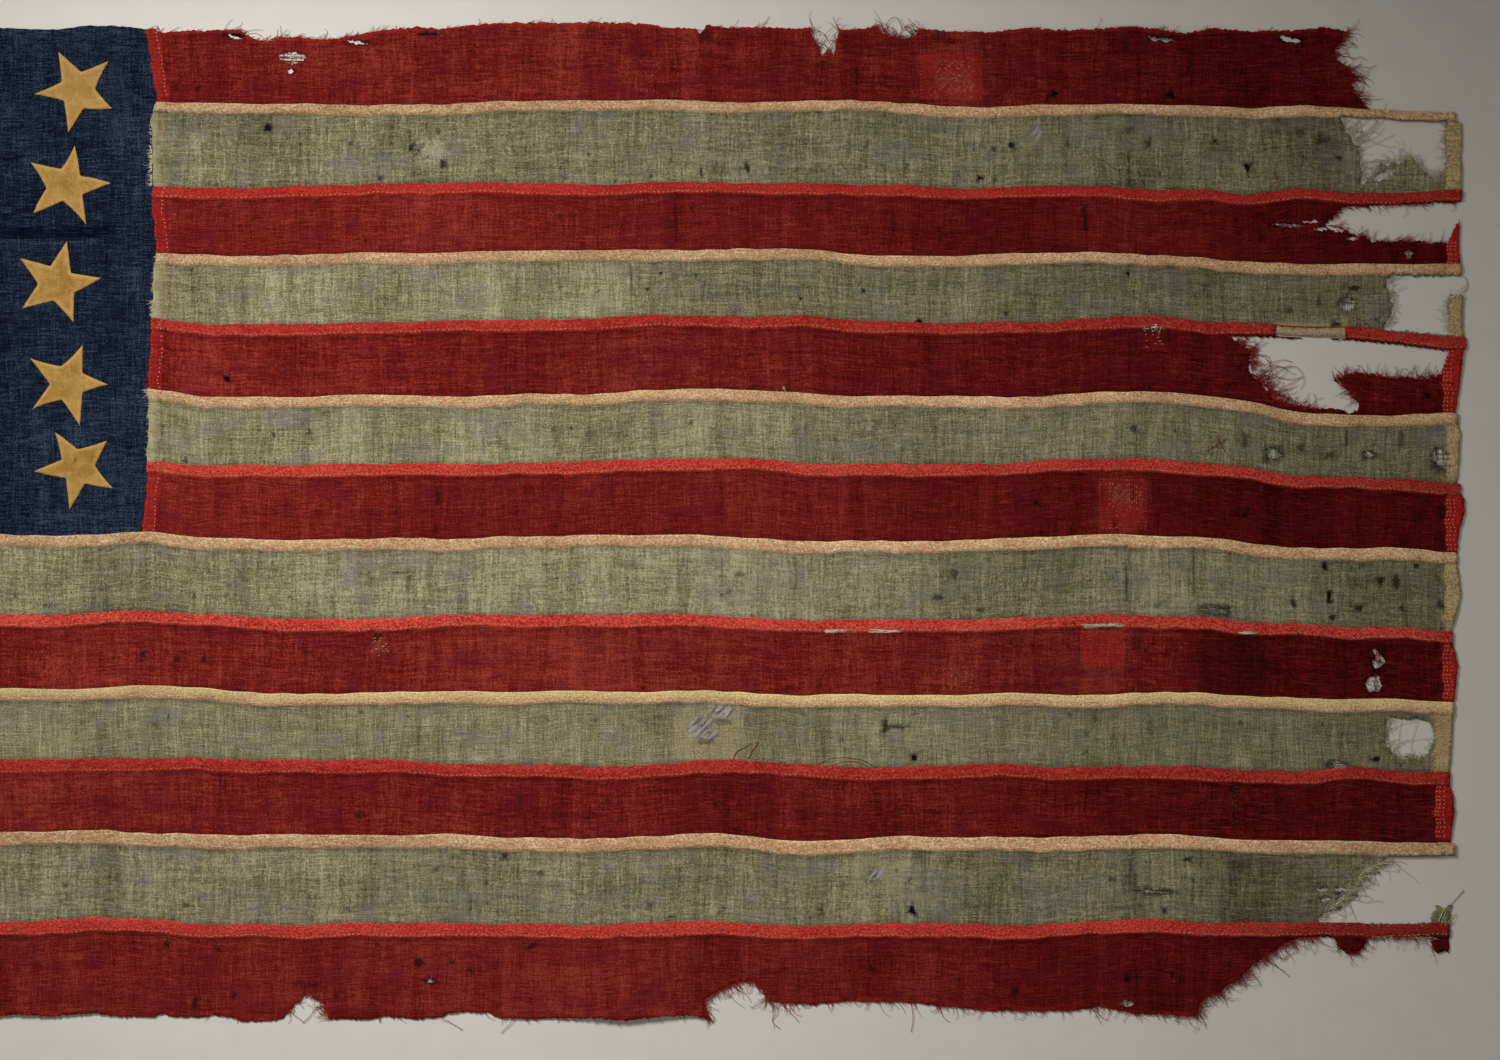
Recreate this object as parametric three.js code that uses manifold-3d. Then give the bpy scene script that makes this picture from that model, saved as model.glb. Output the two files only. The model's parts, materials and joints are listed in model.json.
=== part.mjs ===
// A hand-sewn bunting flag, worn and torn, lying flat with its front up.
// Millimetres, +Z up. X runs along the stripes towards the fly, Y up the hoist.
//
// The layout is drawn in flag coordinates: u along the stripes towards the fly,
// v down from the top edge. place() turns them into model X and Y, so that the
// origin is at the middle of the flag's box on the surface that it lies on.
import * as THREE from "three";
import { mergeVertices } from "three/addons/utils/BufferGeometryUtils.js";
import Module from "manifold-3d";

const wasm = await Module();
wasm.setup();

// ---------------------------------------------------------------- dimensions
const CLOTH = 1.0; // thickness of one sheet
const GAP = 0.3; // air between sheets that are sewn together
const LIFT = CLOTH + GAP; // rise of a sheet where it lies over another
const SLOPE = 2.0; // run in which a lapped sheet comes down again
const HOIST_U = -578; // hoist edge
const CENTRE_U = 444; // middle of the box
const CENTRE_V = 522.05;
const STATION = 76; // step of the sections along the stripes
const LAP_U = 12; // lap of the short stripes over the canton
const HEM_EXTRA = 1.0; // extra thickness of the folded fly hem
const PATCH_DROP = LIFT; // a patch hangs this far under its stripe

// Top line of each stripe, v at u = U0 + 50 k. The red stripe 1 has a torn top.
const SEAM_U0 = { long: 0, short: 150 };
const SEAM = {
  2: [102, 103, 104, 104, 105, 105, 104, 102, 101, 101, 100, 101, 103, 101, 101, 103, 107, 107, 105, 105, 105, 106, 108, 106, 108, 111, 112],
  3: [186, 188, 188, 186, 185, 184, 183, 183, 184, 185, 183, 182, 184, 183, 185, 185, 189, 188, 186, 187, 190, 190, 194, 189, 193, 193, 190],
  4: [253, 255, 256, 255, 253, 253, 253, 251, 251, 250, 250, 250, 249, 249, 254, 256, 256, 254, 253, 253, 255, 258, 262, 264, 264, 264, 264],
  5: [318, 324, 324, 324, 323, 322, 321, 320, 320, 318, 315, 316, 317, 316, 320, 322, 323, 322, 322, 318, 316, 321, 323, 326, 327, 332, 337],
  6: [389, 396, 397, 397, 395, 395, 397, 395, 394, 394, 390, 389, 390, 393, 396, 396, 396, 397, 396, 392, 392, 395, 402, 412, 415, 415, 413],
  7: [462, 465, 465, 465, 464, 464, 464, 464, 462, 461, 459, 459, 458, 463, 464, 464, 464, 464, 460, 459, 459, 463, 468, 476, 477, 479, 483],
  8: [534, 536, 534, 532, 537, 539, 540, 539, 538, 539, 537, 536, 535, 535, 535, 538, 541, 541, 541, 541, 538, 537, 534, 536, 537, 543, 548, 548, 548, 552],
  9: [614, 615, 612, 611, 614, 617, 619, 619, 618, 615, 615, 615, 615, 614, 615, 618, 620, 620, 619, 620, 618, 617, 614, 616, 617, 622, 624, 627, 627, 631],
  10: [688, 689, 688, 685, 688, 692, 694, 693, 692, 691, 692, 691, 691, 692, 690, 693, 695, 694, 695, 695, 693, 694, 695, 692, 693, 696, 698, 699, 699, 702],
  11: [760, 759, 758, 758, 758, 760, 760, 760, 760, 764, 764, 765, 766, 765, 760, 761, 764, 767, 767, 765, 764, 767, 767, 766, 767, 770, 771, 767, 771, 772],
  12: [832, 831, 830, 833, 834, 835, 834, 835, 835, 834, 837, 838, 838, 836, 833, 836, 841, 839, 836, 837, 837, 837, 836, 834, 836, 840, 840, 841, 842, 843],
  13: [922, 920, 917, 919, 924, 924, 925, 923, 923, 923, 924, 924, 925, 922, 921, 923, 926, 924, 923, 923, 925, 924, 921, 919, 922, 922, 922, 923, 924, 923],
};
// Width of the felled band that tops each stripe.
const BAND = { 1: 0, 2: 9.5, 3: 10.5, 4: 10, 5: 11, 6: 10.5, 7: 11.5, 8: 11, 9: 11.5, 10: 11.5, 11: 12.5, 12: 13, 13: 13 };

// Torn top edge of stripe 1, from the canton to the fly.
const TOP_EDGE = [
  [138, 29.6], [153, 28.7], [162.6, 32.5], [191, 31], [229.6, 29.7], [248.7, 36.3], [267.8, 41], [300, 38], [338, 39.2], [384, 30.6], [415, 26.8],
  [472, 24.9], [501, 23.3], [600, 22.6], [648, 23.9], [695.7, 28.3], [699.5, 34.4], [707, 24.9], [772, 27.7], [808, 26.5], [812, 57], [838, 59], [840, 28.7],
  [878, 25.5], [880, 40], [918, 40], [920, 28.7], [948, 31.6], [992, 32.5], [1030, 27.7], [1063, 30.6], [1130, 26.8], [1183, 33.5], [1211, 28.7],
  [1257, 31.6], [1324, 26.8], [1345, 31.6], [1342, 42], [1334, 57], [1359, 76.5], [1353, 92], [1364.5, 105],
];
// Bottom edge of stripe 13 from the hoist to the fly, torn away near the fly.
const BOTTOM_EDGE = [
  [HOIST_U, 1015], [-470, 1017], [-330, 1014], [-210, 1016], [-90, 1014], [0, 1016], [96, 1013], [153, 1017], [215, 1015], [241, 1021], [281, 1019],
  [290, 991], [324, 989], [329, 1019], [384, 1016], [442, 1017.5], [448, 1012.5], [489, 1013], [530, 1019], [600, 1018], [657, 1016], [692, 1015],
  [713, 1021.5], [703, 999], [715, 993], [738, 982], [753, 980], [763, 990], [768, 1001], [791, 1003], [849, 1001], [900, 1002], [957, 1007],
  [986, 1011], [1072, 1011], [1101, 1007], [1137, 1014], [1195, 1016], [1204, 998], [1219, 992], [1238, 979], [1252, 965], [1267, 954], [1286, 942],
  [1300, 938], [1334, 938], [1340, 950], [1352, 954], [1366, 948], [1368, 938], [1430, 938], [1433, 950], [1440, 954], [1449, 950],
];
// Fly edge of each stripe, from its top line to its lower seam.
const FLY = {
  2: [[1455, 95], [1455, 121], [1461, 123], [1461, 215]],
  3: [[1462, 175], [1462, 219], [1459, 221], [1460, 264], [1460, 290]],
  4: [[1461, 250], [1461, 279], [1463, 294], [1463, 338], [1463, 365]],
  5: [[1466, 320], [1466, 349], [1463, 352], [1455.4, 413], [1455, 440]],
  6: [[1458, 400], [1458, 425], [1461, 432], [1457, 478], [1457, 500]],
  7: [[1460, 470], [1460, 495], [1465, 499], [1465, 512], [1459, 531], [1457, 552], [1456, 570]],
  8: [[1456, 540], [1457, 565], [1460, 592], [1456, 615], [1450, 630], [1450, 650]],
  9: [[1452.5, 620], [1452.5, 645], [1458, 666], [1455, 691], [1453, 720]],
  10: [[1453.5, 690], [1453.5, 714], [1451.6, 736], [1448.7, 773], [1448.7, 790]],
  11: [[1449.7, 760], [1449.7, 785], [1454.5, 813], [1450.6, 838], [1450, 860]],
  12: [[1455, 830], [1455, 905], [1450, 912], [1450, 940]],
  13: [[1448.7, 910], [1448.7, 960], [1446, 1030]],
};
// Cloth that is torn away, by stripe.
const TORN = {
  2: [[[1341, 117.9], [1345, 130], [1351, 140], [1359, 147], [1361, 157], [1363, 172], [1361, 183], [1368, 182], [1372, 176], [1380, 161], [1399, 164.5], [1410.5, 157], [1420, 164.5], [1424, 172], [1433, 178], [1445, 170], [1446, 122.3], [1400, 121.3], [1350, 118.3]]],
  3: [[[1330, 229], [1336, 215], [1343.5, 208], [1364.5, 208], [1391, 205.5], [1430, 205.5], [1480, 205.5], [1480, 219], [1459, 219.5], [1455, 222], [1446, 243], [1410, 241], [1391, 242], [1372, 242], [1364.5, 233]]],
  4: [[[1391, 276.5], [1386, 284], [1391, 294], [1393, 305], [1391, 317], [1384, 326], [1384, 330], [1430, 333.5], [1449, 335], [1449, 294], [1480, 294], [1480, 276.5]]],
  5: [[[1229, 337.5], [1244, 346], [1252, 351.5], [1250, 363], [1252, 374], [1261, 382], [1269, 390], [1273, 399], [1292, 406], [1315, 409], [1347, 411], [1359, 411], [1359, 403], [1353, 399], [1345, 388], [1334, 380], [1341.6, 378], [1359, 372.5], [1387.5, 377], [1430, 377], [1441, 374], [1447.5, 352], [1400, 347], [1350, 341.5], [1300, 340], [1250, 338]]],
  10: [[[1386, 722], [1397, 717], [1416, 719], [1432, 725], [1433, 744], [1426, 757], [1402, 758], [1388, 748]]],
  12: [[[1391, 858], [1363, 870], [1357, 883], [1334, 906], [1319, 919.5], [1319, 921.5], [1430, 922], [1437, 905], [1480, 905], [1480, 858]]],
};
// Folded fly hem that is left on each stripe: inner edge u, from v to v.
const HEM = {
  2: [1446.5, 124, 188], 4: [1449.5, 296, 334], 5: [1448, 354, 411], 6: [1447, 428, 478], 7: [1447, 499, 547], 8: [1445, 566, 624],
  9: [1443, 648, 697], 10: [1434, 718, 768], 11: [1436, 789, 838],
};
// Repair pieces sewn behind worn places: stripe, from u to u, from v to v.
const PATCHES = [
  [1, 917, 985, 47, 102], [2, 1017, 1063, 119, 163], [7, 1096, 1149, 476.5, 532], [9, 1078, 1127, 629, 668], [10, 672, 746, 706.5, 760], [12, 848, 908, 858, 897],
];

// Canton: edge on the stripes' side at each short stripe's top line, 1 to 8.
const CANTON_EDGE_V = [15, 102, 186, 253, 318, 389, 462, 532, 560];
const CANTON_EDGE_U = [147, 157, 153, 156, 150.5, 148, 147.5, 142.5, 142];
const CANTON_TOP = 28.5;
const CREASE_V = 234.5; // one soft crease between the second and third star rows
const CREASE_H = 2.0;

// Stars, cut by hand, as tip and notch points from the upper tip clockwise.
const STARS = [
  [[58.4, 51.7], [81.3, 72.3], [109, 61.2], [95.1, 89.3], [112.5, 108.7], [83.6, 108.7], [68.5, 133], [64.1, 101], [34.4, 94.3], [62.2, 82.3]],
  [[75, 145.4], [80.4, 176], [111, 183.3], [82.5, 194.7], [86.5, 225], [63.1, 201], [33.5, 213.5], [46.9, 188.5], [31, 162.6], [61.2, 169.3]],
  [[67.3, 241.2], [71.2, 273.2], [101.4, 278], [74.2, 292.9], [73.7, 322.5], [54, 300.9], [22.6, 308.6], [38.3, 284.3], [20.1, 258.4], [50.7, 266.5]],
  [[82.7, 344.9], [82.7, 373.2], [108.7, 384.5], [82.7, 392.6], [80, 425.9], [62.2, 399.7], [32.5, 409.2], [50.1, 384.3], [30.2, 358.3], [61.2, 366.5]],
  [[55.1, 432.2], [77.5, 449.4], [107.1, 440.8], [95.1, 465.7], [113.3, 488.2], [85.1, 483.8], [69.8, 509.7], [66, 478.1], [34.1, 471.4], [62.2, 459.9]],
];
const STAR_PITCH = 118.5; // from one column of stars to the next
const STAR_COLUMNS = 6;

const RED = 0x9c1f20, WHITE = 0xb9a884, BLUE = 0x1f2b47, OCHRE = 0xb8934a, PATCH_RED = 0x8f3a30, PATCH_WHITE = 0xbfb194;

// ------------------------------------------------------------------- helpers
const clamp = (x, a, b) => Math.min(b, Math.max(a, x));
const smooth = (a, b, x) => {
  const t = clamp((x - a) / (b - a), 0, 1);
  return t * t * (3 - 2 * t);
};
const along = (xs, ys, x) => {
  if (x <= xs[0]) return ys[0];
  for (let k = 1; k < xs.length; k++) if (x <= xs[k]) return ys[k - 1] + ((ys[k] - ys[k - 1]) * (x - xs[k - 1])) / (xs[k] - xs[k - 1]);
  return ys[ys.length - 1];
};

// Top line of stripe i at u. The hoist half runs on in the same gentle waves.
function seam(i, u) {
  const list = SEAM[i];
  const u0 = list.length > 27 ? SEAM_U0.long : SEAM_U0.short;
  const wave = u < u0 ? 2.2 * Math.sin((u0 - u) / 95 + i * 1.7) * smooth(0, 90, u0 - u) : 0;
  const k = clamp((u - u0) / 50, 0, list.length - 1.000001);
  const n = Math.floor(k);
  return list[n] + (list[n + 1] - list[n]) * (k - n) + wave;
}
const cantonEdge = (v) => along(CANTON_EDGE_V, CANTON_EDGE_U, v);

// How far the cloth stands off the surface: soft upright ripples, flat between,
// nearly flat in the canton, and raised over the repair pieces.
function ripple(u, v) {
  const s = 3.2 * Math.cos((2 * Math.PI * (u - 600)) / 520 + 0.5 * Math.sin(v / 190)) + 2.0 * Math.cos((2 * Math.PI * (u - 1150)) / 318 + v / 260) - 0.6;
  const body = u < 230 ? Math.max(smooth(150, 230, u), smooth(560, 760, v) * 0.9) : 1;
  let r = (s > 0 ? (s * s) / (s + 1) : 0) * body;
  for (const [i, u0, u1] of PATCHES) {
    const top = i === 1 ? 20 : seam(i, u0), low = seam(i + 1, u0);
    const du = Math.max(u0 - STATION - 2 - u, u - u1 - STATION - 2, 0), dv = Math.max(top - 4 - v, v - low - 4, 0);
    r = Math.max(r, 1.6 * smooth(70, 0, du) * smooth(60, 0, dv));
  }
  if (u < 150 && v < 500) r += CREASE_H * smooth(5.6, 0, Math.abs(v - CREASE_V)) * smooth(-330, -120, u) * smooth(140, 95, u);
  return r;
}

const place = (u, v, z) => [u - CENTRE_U, CENTRE_V - v, z];

// A closed sheet on a grid of rows and stations. at(a, b) gives [u, v, offset].
function sheet(na, nb, at, low, high) {
  const pos = [], index = [];
  for (let side = 0; side < 2; side++)
    for (let a = 0; a < na; a++)
      for (let b = 0; b < nb; b++) {
        const [u, v, off] = at(a, b);
        pos.push(...place(u, v, ripple(u, v) + off + (side ? high : low)));
      }
  const id = (side, a, b) => side * na * nb + a * nb + b;
  const quad = (p, q, r, s) => index.push(p, r, q, p, s, r);
  for (let a = 0; a < na - 1; a++)
    for (let b = 0; b < nb - 1; b++) {
      quad(id(1, a, b), id(1, a, b + 1), id(1, a + 1, b + 1), id(1, a + 1, b));
      quad(id(0, a, b), id(0, a + 1, b), id(0, a + 1, b + 1), id(0, a, b + 1));
    }
  for (let a = 0; a < na - 1; a++) {
    quad(id(0, a, 0), id(1, a, 0), id(1, a + 1, 0), id(0, a + 1, 0));
    quad(id(0, a, nb - 1), id(0, a + 1, nb - 1), id(1, a + 1, nb - 1), id(1, a, nb - 1));
  }
  for (let b = 0; b < nb - 1; b++) {
    quad(id(0, 0, b), id(0, 0, b + 1), id(1, 0, b + 1), id(1, 0, b));
    quad(id(0, na - 1, b), id(1, na - 1, b), id(1, na - 1, b + 1), id(0, na - 1, b + 1));
  }
  return solid(pos, index);
}
function solid(pos, index) {
  return new wasm.Manifold(new wasm.Mesh({ numProp: 3, vertProperties: new Float32Array(pos), triVerts: new Uint32Array(index) }));
}
// A prism over an outline in flag coordinates, from z0 to z1.
function prism(outline, z0, z1) {
  const shape = new THREE.Shape(outline.map(([u, v]) => new THREE.Vector2(u - CENTRE_U, CENTRE_V - v)));
  const g = new THREE.ExtrudeGeometry(shape, { depth: z1 - z0, bevelEnabled: false });
  g.translate(0, 0, z0);
  g.deleteAttribute("normal");
  g.deleteAttribute("uv");
  const m = mergeVertices(g, 1e-4);
  return solid(Array.from(m.attributes.position.array), Array.from(m.index.array));
}
function geometry(man) {
  const m = man.getMesh();
  const g = new THREE.BufferGeometry();
  const n = m.numProp, pos = new Float32Array((m.vertProperties.length / n) * 3);
  for (let k = 0; k < pos.length / 3; k++) for (let c = 0; c < 3; c++) pos[3 * k + c] = m.vertProperties[n * k + c];
  g.setAttribute("position", new THREE.BufferAttribute(pos, 3));
  g.setIndex(Array.from(m.triVerts));
  g.computeVertexNormals();
  return g;
}
const group = new THREE.Group();
function add(name, geo, color, roughness = 0.95) {
  const mesh = new THREE.Mesh(geo, new THREE.MeshStandardMaterial({ color, roughness, metalness: 0, side: THREE.FrontSide }));
  mesh.name = name;
  group.add(mesh);
}

// ------------------------------------------------------------------- stripes
const stripeName = (i) => `stripe_${String(i).padStart(2, "0")}`;
const FIRST_OF = (i) => (i >= 8 ? "long" : "short");

// Stations of a stripe, as functions of v, because the short stripes start on
// the canton's slanting edge.
function stations(i) {
  const list = [];
  if (FIRST_OF(i) === "short") {
    for (const d of [0, LAP_U, LAP_U + SLOPE]) list.push((v) => cantonEdge(v) + d);
    for (let u = 232; u < 1478; u += STATION) list.push(() => u);
  } else {
    for (let u = HOIST_U; u < 120; u += STATION * 0.9833) list.push(() => u);
    for (const d of [-7, -2, LAP_U + 0.6, LAP_U + 0.6 + SLOPE]) list.push((v) => cantonEdge(v) + d);
    for (let u = 232; u < 1478; u += STATION) list.push(() => u);
  }
  list.push(() => 1478);
  return list;
}
// Extra rise over the canton's allowance.
function cornerLift(i, k) {
  if (FIRST_OF(i) === "short") return k <= 1 ? LIFT : 0;
  return 0;
}
const hoistStations = (() => {
  let n = 0;
  for (let u = HOIST_U; u < 120; u += STATION * 0.9833) n++;
  return n;
})();

function rowsOf(i) {
  // [v(u), offset]
  const rows = [];
  if (i > 1) {
    rows.push([(u) => seam(i, u), LIFT]);
    rows.push([(u) => seam(i, u) + BAND[i], LIFT]);
    rows.push([(u) => seam(i, u) + BAND[i] + SLOPE, 0]);
  } else rows.push([() => 18, 0]);
  if (i < 13) {
    rows.push([(u) => seam(i + 1, u), 0]);
    rows.push([(u) => seam(i + 1, u) + BAND[i + 1] - GAP, 0]);
  } else rows.push([() => 1026, 0]);
  return rows;
}
function stripeSheet(i, low, high) {
  const us = stations(i), rows = rowsOf(i);
  const at = (a, b) => {
    const guess = us[b](rows[a][0](150));
    const v = rows[a][0](guess);
    let off = rows[a][1] + cornerLift(i, b);
    // The long stripe under the canton also laps the end of stripe 7.
    if (i === 8 && a <= 1 && (b === hoistStations + 1 || b === hoistStations + 2)) off += LIFT;
    return [us[b](v), v, off];
  };
  return sheet(rows.length, us.length, at, low, high);
}

for (let i = 1; i <= 13; i++) {
  let body = stripeSheet(i, 0, CLOTH);
  if (HEM[i]) {
    const [u0, v0, v1] = HEM[i];
    const strip = prism([[u0, v0], [1475, v0], [1475, v1], [u0, v1]], -2, 12).intersect(stripeSheet(i, 0.5, CLOTH + HEM_EXTRA));
    body = body.add(strip);
  }
  if (FLY[i]) {
    const edge = FLY[i];
    body = body.subtract(prism([...edge, [1490, edge[edge.length - 1][1]], [1490, edge[0][1]]], -3, 15));
  }
  if (i === 1) body = body.subtract(prism([...TOP_EDGE, [1366, 130], [1490, 130], [1490, 5], [138, 5]], -3, 15));
  if (i === 13) body = body.subtract(prism([...BOTTOM_EDGE, [1449, 1040], [HOIST_U - 5, 1040], [HOIST_U - 5, 1015]], -3, 15));
  for (const hole of TORN[i] ?? []) body = body.subtract(prism(hole, -3, 15));
  add(stripeName(i), geometry(body), i % 2 ? RED : WHITE);
}

// -------------------------------------------------------------------- canton
{
  const us = [];
  for (let u = HOIST_U; u < 120; u += STATION * 0.9833) us.push(() => u);
  us.push((v) => cantonEdge(v) - 2, (v) => cantonEdge(v) + LAP_U - GAP);
  const knots = [CANTON_TOP, 102, 186, CREASE_V - 6, CREASE_V, CREASE_V + 6, 253, 318, 389, 462, 532];
  const base = seam(8, 148);
  const at = (a, b) => {
    const last = a === knots.length;
    const v150 = last ? 532 : knots[a];
    const u = us[b](v150);
    // Rows below the crease stretch so that the last ones meet stripe 8.
    const low = seam(8, u);
    const t = a <= 5 ? 0 : (v150 - knots[5]) / (base - knots[5]);
    let v = a === 0 ? CANTON_TOP + 1.2 * Math.sin(u / 61) : v150 + t * (low - base);
    if (last) v = low + BAND[8] - GAP;
    return [us[b](v), v, 0];
  };
  add("canton", geometry(sheet(knots.length + 1, us.length, at, 0, CLOTH)), BLUE);
}

// --------------------------------------------------------------------- stars
for (let c = 0; c < STAR_COLUMNS; c++)
  for (let r = 0; r < 5; r++) {
    // Each column uses the cut shapes in another order and turned a little.
    const source = STARS[c === 0 ? r : (r + 2 * c) % 5];
    const cu = source.reduce((s, p) => s + p[0], 0) / 10, cv = source.reduce((s, p) => s + p[1], 0) / 10;
    const home = STARS[r];
    const hu = c === 0 ? cu : home.reduce((s, p) => s + p[0], 0) / 10 - STAR_PITCH * c + 2 * Math.sin(5.1 * c + 2.3 * r);
    const hv = c === 0 ? cv : home.reduce((s, p) => s + p[1], 0) / 10 + 2.5 * Math.sin(3.7 * c + 1.9 * r);
    const turn = c === 0 ? 0 : (((c * 2 + r * 3) % 5) - 2) * 0.21 + (c % 2) * 0.34;
    const size = c === 0 ? 1 : 0.93;
    const outline = source.map(([u, v]) => {
      const du = (u - cu) * size, dv = (v - cv) * size;
      return [hu + du * Math.cos(turn) - dv * Math.sin(turn), hv + du * Math.sin(turn) + dv * Math.cos(turn)];
    });
    add(`star_${c + 1}${r + 1}`, geometry(prism(outline, LIFT, LIFT + CLOTH)), OCHRE);
  }

// ------------------------------------------------------------- repair pieces
PATCHES.forEach(([i, u0, u1, v0, v1], k) => {
  const piece = prism([[u0, v0], [u1, v0 + 1.5], [u1 - 1, v1], [u0 + 1, v1 - 1]], -3, 15).intersect(stripeSheet(i, -PATCH_DROP, -GAP));
  add(`patch_${k + 1}`, geometry(piece), i % 2 ? PATCH_RED : PATCH_WHITE);
});

export default group;
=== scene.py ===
import json
import math
import random

import bpy
import numpy as np
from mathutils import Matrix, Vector
from mathutils.geometry import delaunay_2d_cdt

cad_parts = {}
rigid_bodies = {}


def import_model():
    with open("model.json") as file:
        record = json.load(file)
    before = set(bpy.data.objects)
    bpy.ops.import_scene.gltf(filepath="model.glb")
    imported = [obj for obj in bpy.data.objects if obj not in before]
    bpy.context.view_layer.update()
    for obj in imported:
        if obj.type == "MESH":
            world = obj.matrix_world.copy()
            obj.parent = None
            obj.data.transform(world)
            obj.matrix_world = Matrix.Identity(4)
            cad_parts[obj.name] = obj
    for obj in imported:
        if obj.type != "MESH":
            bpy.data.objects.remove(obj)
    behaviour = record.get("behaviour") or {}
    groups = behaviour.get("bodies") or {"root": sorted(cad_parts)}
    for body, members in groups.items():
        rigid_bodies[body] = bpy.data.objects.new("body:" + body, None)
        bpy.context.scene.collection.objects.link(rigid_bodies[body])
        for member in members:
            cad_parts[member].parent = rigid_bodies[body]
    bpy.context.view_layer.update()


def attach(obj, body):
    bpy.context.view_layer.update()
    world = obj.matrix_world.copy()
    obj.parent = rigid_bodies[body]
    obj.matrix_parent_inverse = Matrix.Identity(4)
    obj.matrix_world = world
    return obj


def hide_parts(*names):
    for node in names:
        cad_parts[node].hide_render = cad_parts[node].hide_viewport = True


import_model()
rng = np.random.default_rng(1861)
random.seed(1861)

# ---------------------------------------------------------------- dimensions
# Flag coordinates in mm: u along the stripes to the fly, v down from the top.
HOIST_U, CENTRE_U, CENTRE_V = -578.0, 444.0, 522.05
LAP_U = 12.0
PANEL_TOP, BAND_TOP, THICK = 0.75, 1.95, 0.6

SEAM = {
    2: [102, 103, 104, 104, 105, 105, 104, 102, 101, 101, 100, 101, 103, 101, 101, 103, 107, 107, 105, 105, 105, 106, 108, 106, 108, 111, 112],
    3: [186, 188, 188, 186, 185, 184, 183, 183, 184, 185, 183, 182, 184, 183, 185, 185, 189, 188, 186, 187, 190, 190, 194, 189, 193, 193, 190],
    4: [253, 255, 256, 255, 253, 253, 253, 251, 251, 250, 250, 250, 249, 249, 254, 256, 256, 254, 253, 253, 255, 258, 262, 264, 264, 264, 264],
    5: [318, 324, 324, 324, 323, 322, 321, 320, 320, 318, 315, 316, 317, 316, 320, 322, 323, 322, 322, 318, 316, 321, 323, 326, 327, 332, 337],
    6: [389, 396, 397, 397, 395, 395, 397, 395, 394, 394, 390, 389, 390, 393, 396, 396, 396, 397, 396, 392, 392, 395, 402, 412, 415, 415, 413],
    7: [462, 465, 465, 465, 464, 464, 464, 464, 462, 461, 459, 459, 458, 463, 464, 464, 464, 464, 460, 459, 459, 463, 468, 476, 477, 479, 483],
    8: [534, 536, 534, 532, 537, 539, 540, 539, 538, 539, 537, 536, 535, 535, 535, 538, 541, 541, 541, 541, 538, 537, 534, 536, 537, 543, 548, 548, 548, 552],
    9: [614, 615, 612, 611, 614, 617, 619, 619, 618, 615, 615, 615, 615, 614, 615, 618, 620, 620, 619, 620, 618, 617, 614, 616, 617, 622, 624, 627, 627, 631],
    10: [688, 689, 688, 685, 688, 692, 694, 693, 692, 691, 692, 691, 691, 692, 690, 693, 695, 694, 695, 695, 693, 694, 695, 692, 693, 696, 698, 699, 699, 702],
    11: [760, 759, 758, 758, 758, 760, 760, 760, 760, 764, 764, 765, 766, 765, 760, 761, 764, 767, 767, 765, 764, 767, 767, 766, 767, 770, 771, 767, 771, 772],
    12: [832, 831, 830, 833, 834, 835, 834, 835, 835, 834, 837, 838, 838, 836, 833, 836, 841, 839, 836, 837, 837, 837, 836, 834, 836, 840, 840, 841, 842, 843],
    13: [922, 920, 917, 919, 924, 924, 925, 923, 923, 923, 924, 924, 925, 922, 921, 923, 926, 924, 923, 923, 925, 924, 921, 919, 922, 922, 922, 923, 924, 923],
}
BAND = {1: 0, 2: 9.5, 3: 10.5, 4: 10, 5: 11, 6: 10.5, 7: 11.5, 8: 11, 9: 11.5, 10: 11.5, 11: 12.5, 12: 13, 13: 13}

TOP_EDGE = [
    (147, 29.2), (153, 28.7), (162.6, 32.5), (191, 31), (229.6, 29.7), (241, 31.6), (248.7, 36.3), (256, 40.5), (267.8, 41), (279, 37.3), (300, 38), (318, 40), (338, 39.2), (357, 35.4), (384, 30.6), (415, 26.8),
    (441, 28.7), (472, 24.9), (501, 23.3), (568, 23.3), (600, 22.6), (648, 23.9), (665, 27.7), (695.7, 28.3), (699.5, 34.4), (707, 24.9), (722, 27.7), (772, 27.7), (801, 28.7), (810, 26.5),
    (812, 38), (818, 46), (821, 58), (827, 51), (833, 56), (836, 44), (839, 30), (866, 28.7), (877, 25.2), (882, 33), (893, 38), (908, 39), (916, 34), (919.5, 28.7), (948, 31.6), (992, 32.5), (1030, 27.7), (1063, 30.6),
    (1091, 29.7), (1130, 26.8), (1158, 29.7), (1183, 33.5), (1211, 28.7), (1257, 31.6), (1300, 30), (1324, 26.8), (1345, 31.6), (1342, 42), (1335, 50), (1336, 60), (1346, 66), (1352, 74), (1358, 77), (1351, 84), (1353, 92), (1360, 99), (1364.5, 106),
]
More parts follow.
